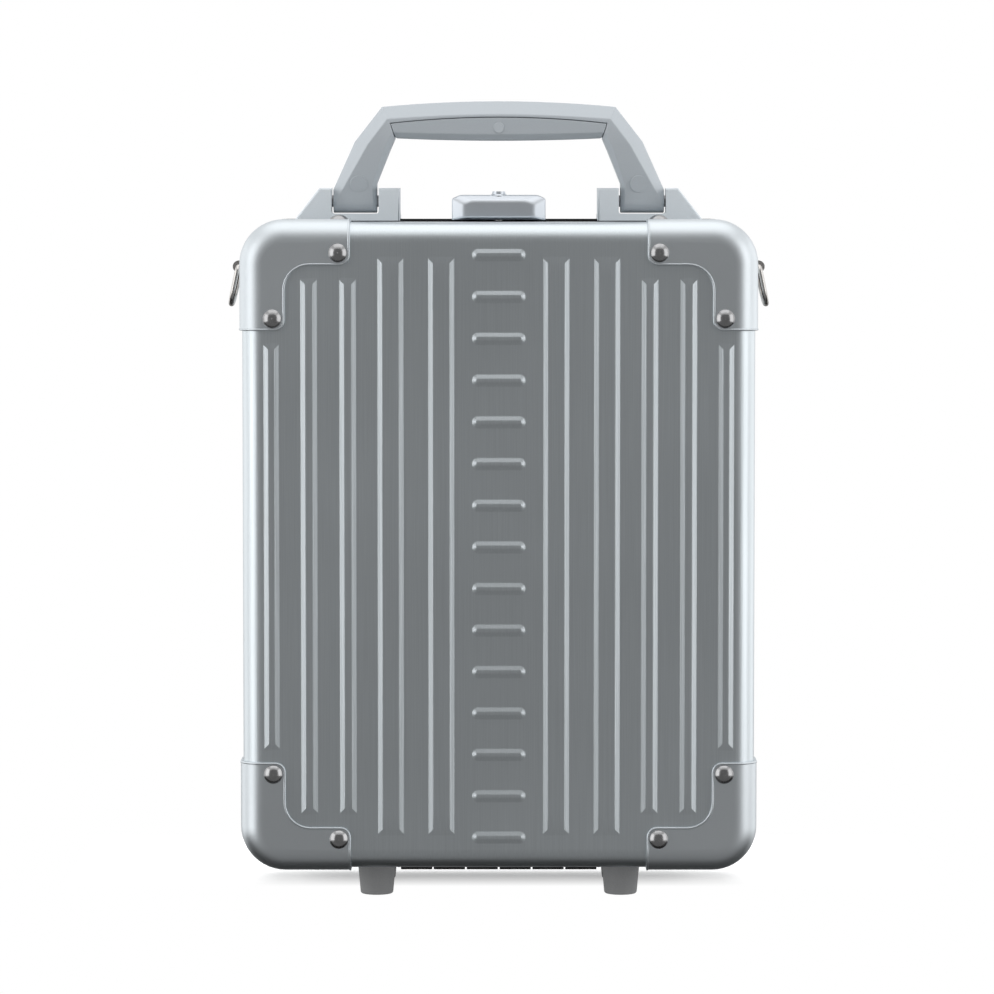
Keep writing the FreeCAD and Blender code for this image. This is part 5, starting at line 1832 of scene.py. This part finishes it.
def aim_at(holder: Piece, place: Vector, aim: Vector) -> None:
    """Put a lamp or a camera in its place and turn it.

    Args:
        holder: The lamp or the camera.
        place: Where it goes.
        aim: What it looks at.
    """
    holder.location = place
    holder.rotation_mode = "QUATERNION"
    holder.rotation_quaternion = (aim - place).to_track_quat("-Z", "Y")


@dataclass
class Softbox:
    """One large soft lamp, aimed at the case, which metal mirrors unless it is a plain fill."""

    name: str
    place: tuple[float, float, float]
    width: float
    height: float
    power: float
    mirrored: bool = True

    def build(self, aim: Vector) -> None:
        """Hang the lamp.

        Args:
            aim: What it is turned to.
        """
        lamp = bpy.data.lights.new(self.name, "AREA")
        lamp.shape = "RECTANGLE"
        lamp.size = self.width
        lamp.size_y = self.height
        lamp.energy = self.power
        holder = shown(self.name, lamp)
        holder.visible_glossy = self.mirrored
        aim_at(holder, Vector(self.place), aim)


@dataclass
class Studio:
    """Floor, cards, world, lamps and camera of the picture."""

    aim: Vector
    camera_place: Vector
    lens: float = 169.98
    sensor: float = 36.0
    floor_low: tuple[float, float] = (-0.23, -0.004)
    floor_high: tuple[float, float] = (0.23, 0.2)
    floor_fade: float = 0.04
    floor_glow: float = 0.3
    floor_colour: Colour = (0.92, 0.92, 0.92, 1.0)
    floor_roughness: float = 0.9
    fill: float = 0.55
    mirrored_room: float = 0.8
    card_distance: float = 2.7
    card_width: float = 4.9
    card_low: float = -0.7
    card_high: float = 3.0
    card_back: float = 1.0
    front_tone: float = 0.205
    low_tone: float = 0.2
    card_split: float = -0.3
    under_tone: float = 0.03
    back_low: float = -2.6
    back_high: float = -0.25
    back_tone: float = 0.25

    def build(self) -> None:
        """Set up the whole studio."""
        bpy.context.scene.view_settings.view_transform = "Standard"
        self.floor()
        self.cards()
        self.world()
        for lamp in self.lamps():
            lamp.build(self.aim)
        self.camera()

    def lamps(self) -> list[Softbox]:
        """List the lamps.

        Returns:
            Lamps that metal mirrors, and then the plain fills.
        """
        return [
            Softbox("left_softbox", (-1.5, -0.75, 0.45), 1.0, 1.8, 5.0),
            Softbox("right_softbox", (1.5, -0.75, 0.45), 1.0, 1.8, 4.2),
            Softbox("left_rim_softbox", (-1.5, 0.75, 0.4), 1.2, 1.6, 2.2),
            Softbox("right_rim_softbox", (1.5, 0.75, 0.4), 1.2, 1.6, 2.6),
            Softbox("top_softbox", (0.0, 0.0, 1.7), 1.8, 1.6, 5.2),
            Softbox("top_fill", (0.0, 0.0, 1.7), 1.8, 1.6, 22.5, mirrored=False),
            Softbox("left_fill", (-1.6, -0.2, 0.7), 1.2, 1.4, 13.0, mirrored=False),
            Softbox("right_fill", (1.6, -0.2, 0.7), 1.2, 1.4, 12.0, mirrored=False),
        ]

    def floor(self) -> None:
        """Lay a pale floor under the case, which fades into the white backdrop at its edges."""
        bm = block(Vector((*self.floor_low, -SAME)), Vector((*self.floor_high, 0.0)))
        bmesh.ops.delete(bm, geom=[f for f in bm.faces if f.normal.z < FACING], context="FACES")
        floor = shown("studio_floor", as_mesh("studio_floor", bm))
        floor.data.materials.append(self.floor_material())
        floor.visible_glossy = False

    def floor_material(self) -> bpy.types.Material:
        """Make the floor's material.

        Returns:
            A material that takes shadows in its middle and glows white at its rim.
        """
        material, shader = fresh_material("pale_floor", {
            "Roughness": self.floor_roughness, "Specular IOR Level": 0.0, "Emission Color": WHITE})
        board = Board(material.node_tree)
        parts = board.add("ShaderNodeSeparateXYZ")
        board.link(board.add("ShaderNodeTexCoord").outputs["Object"], parts.inputs[0])
        rims = []
        for index, name in enumerate(("X", "Y")):
            low, high = self.floor_low[index], self.floor_high[index]
            offset = board.math("ABSOLUTE", board.math("SUBTRACT", parts.outputs[name], (low + high) / 2))
            half = (high - low) / 2
            rims.append(board.spread(offset, (half - self.floor_fade, half), UNIT))
        rim = board.math("MAXIMUM", *rims)
        path = board.add("ShaderNodeLightPath").outputs["Is Camera Ray"]
        board.link(board.mix(rim, self.floor_colour, BLACK), shader.inputs["Base Color"])
        glow = board.spread(rim, UNIT, (self.floor_glow, 1.0))
        board.link(board.math("MULTIPLY", glow, path), shader.inputs["Emission Strength"])
        return material

    def cards(self) -> None:
        """Set grey cards before, below and behind the case, which only bright metal mirrors."""
        side = self.card_width / 2
        front, back = -self.card_distance, self.card_back
        behind, split, low = self.card_distance, self.card_split, self.card_low
        rows = [("front_card", (front, low), (front, self.card_high), self.front_tone),
                ("low_card", (front, low), (split, low), self.low_tone),
                ("under_card", (split, low), (back, low), self.under_tone),
                ("back_card", (behind, self.back_low), (behind, self.back_high), self.back_tone)]
        for name, start, end, shade in rows:
            self.card(name, Vector((-side, *start)), Vector((side, *end)), shade)

    def card(self, name: str, low: Vector, high: Vector, shade: float) -> None:
        """Place one card.

        Args:
            name: Name of the card.
            low: Lowest corner.
            high: Highest corner.
            shade: How bright the card looks.
        """
        bm = block(low, high + Vector((0.0, SAME, SAME)))
        material, _ = fresh_material(name, {
            "Base Color": BLACK, "Specular IOR Level": 0.0, "Emission Color": WHITE, "Emission Strength": shade})
        card = shown(name, as_mesh(name, bm))
        card.data.materials.append(material)
        for path in ("visible_camera", "visible_diffuse", "visible_shadow", "visible_transmission"):
            setattr(card, path, False)

    def world(self) -> None:
        """Surround the case with an even room, white in the picture and dimmer in light and reflections."""
        world = bpy.data.worlds.new("studio_world")
        bpy.context.scene.world = world
        world.use_nodes = True
        board = Board(world.node_tree)
        back = world.node_tree.nodes["Background"]
        back.inputs["Color"].default_value = WHITE
        path = board.add("ShaderNodeLightPath").outputs
        light = board.spread(path["Is Glossy Ray"], UNIT, (self.fill, self.mirrored_room))
        board.link(board.math("MAXIMUM", path["Is Camera Ray"], light), back.inputs["Strength"])

    def camera(self) -> None:
        """Set the camera at the picture's viewing angle."""
        lens = bpy.data.cameras.new("picture_camera")
        lens.lens = self.lens
        lens.sensor_width = self.sensor
        holder = shown("picture_camera", lens)
        aim_at(holder, self.camera_place, self.aim)
        bpy.context.scene.camera = holder


def joint_height(frame: dict, name: str) -> float:
    """Return the height of a joint's axis."""
    row = next(j for j in frame["joints"] if j["name"] == name)
    return row["pos_m"][Axis.Z.value]


def main() -> None:
    """Build the dressed case and its studio."""
    logging.basicConfig(level=logging.INFO)
    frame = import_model()
    case = CaseFrame.measured()
    wardrobe = Wardrobe()
    wardrobe.dress_nodes(frame)
    for half in Half:
        rim = abs(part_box(f"{half.word}_shell")[1 if half is Half.FRONT else 0].y)
        PressedShell(case, half, rim).build(wardrobe)
        for level in Level:
            for side in Side:
                CornerCap(case, half, level, side).build(wardrobe)
    CarryHandle(joint_height(frame, "handle_fold")).build(wardrobe)
    HandleBrackets().build(wardrobe, frame)
    LatchLever(case.top, case.button_y).build(wardrobe)
    for half in Half:
        low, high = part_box(f"{half.word}_lining")
        rim = min(abs(low.y), abs(high.y))
        PaddedLining(case, half, case.half_width - high.x, rim).build(wardrobe)
    Organiser().build(wardrobe)
    PackingStraps().build(wardrobe)
    Studio(AIM, CAMERA_PLACE).build()


if __name__ == "__main__":
    main()
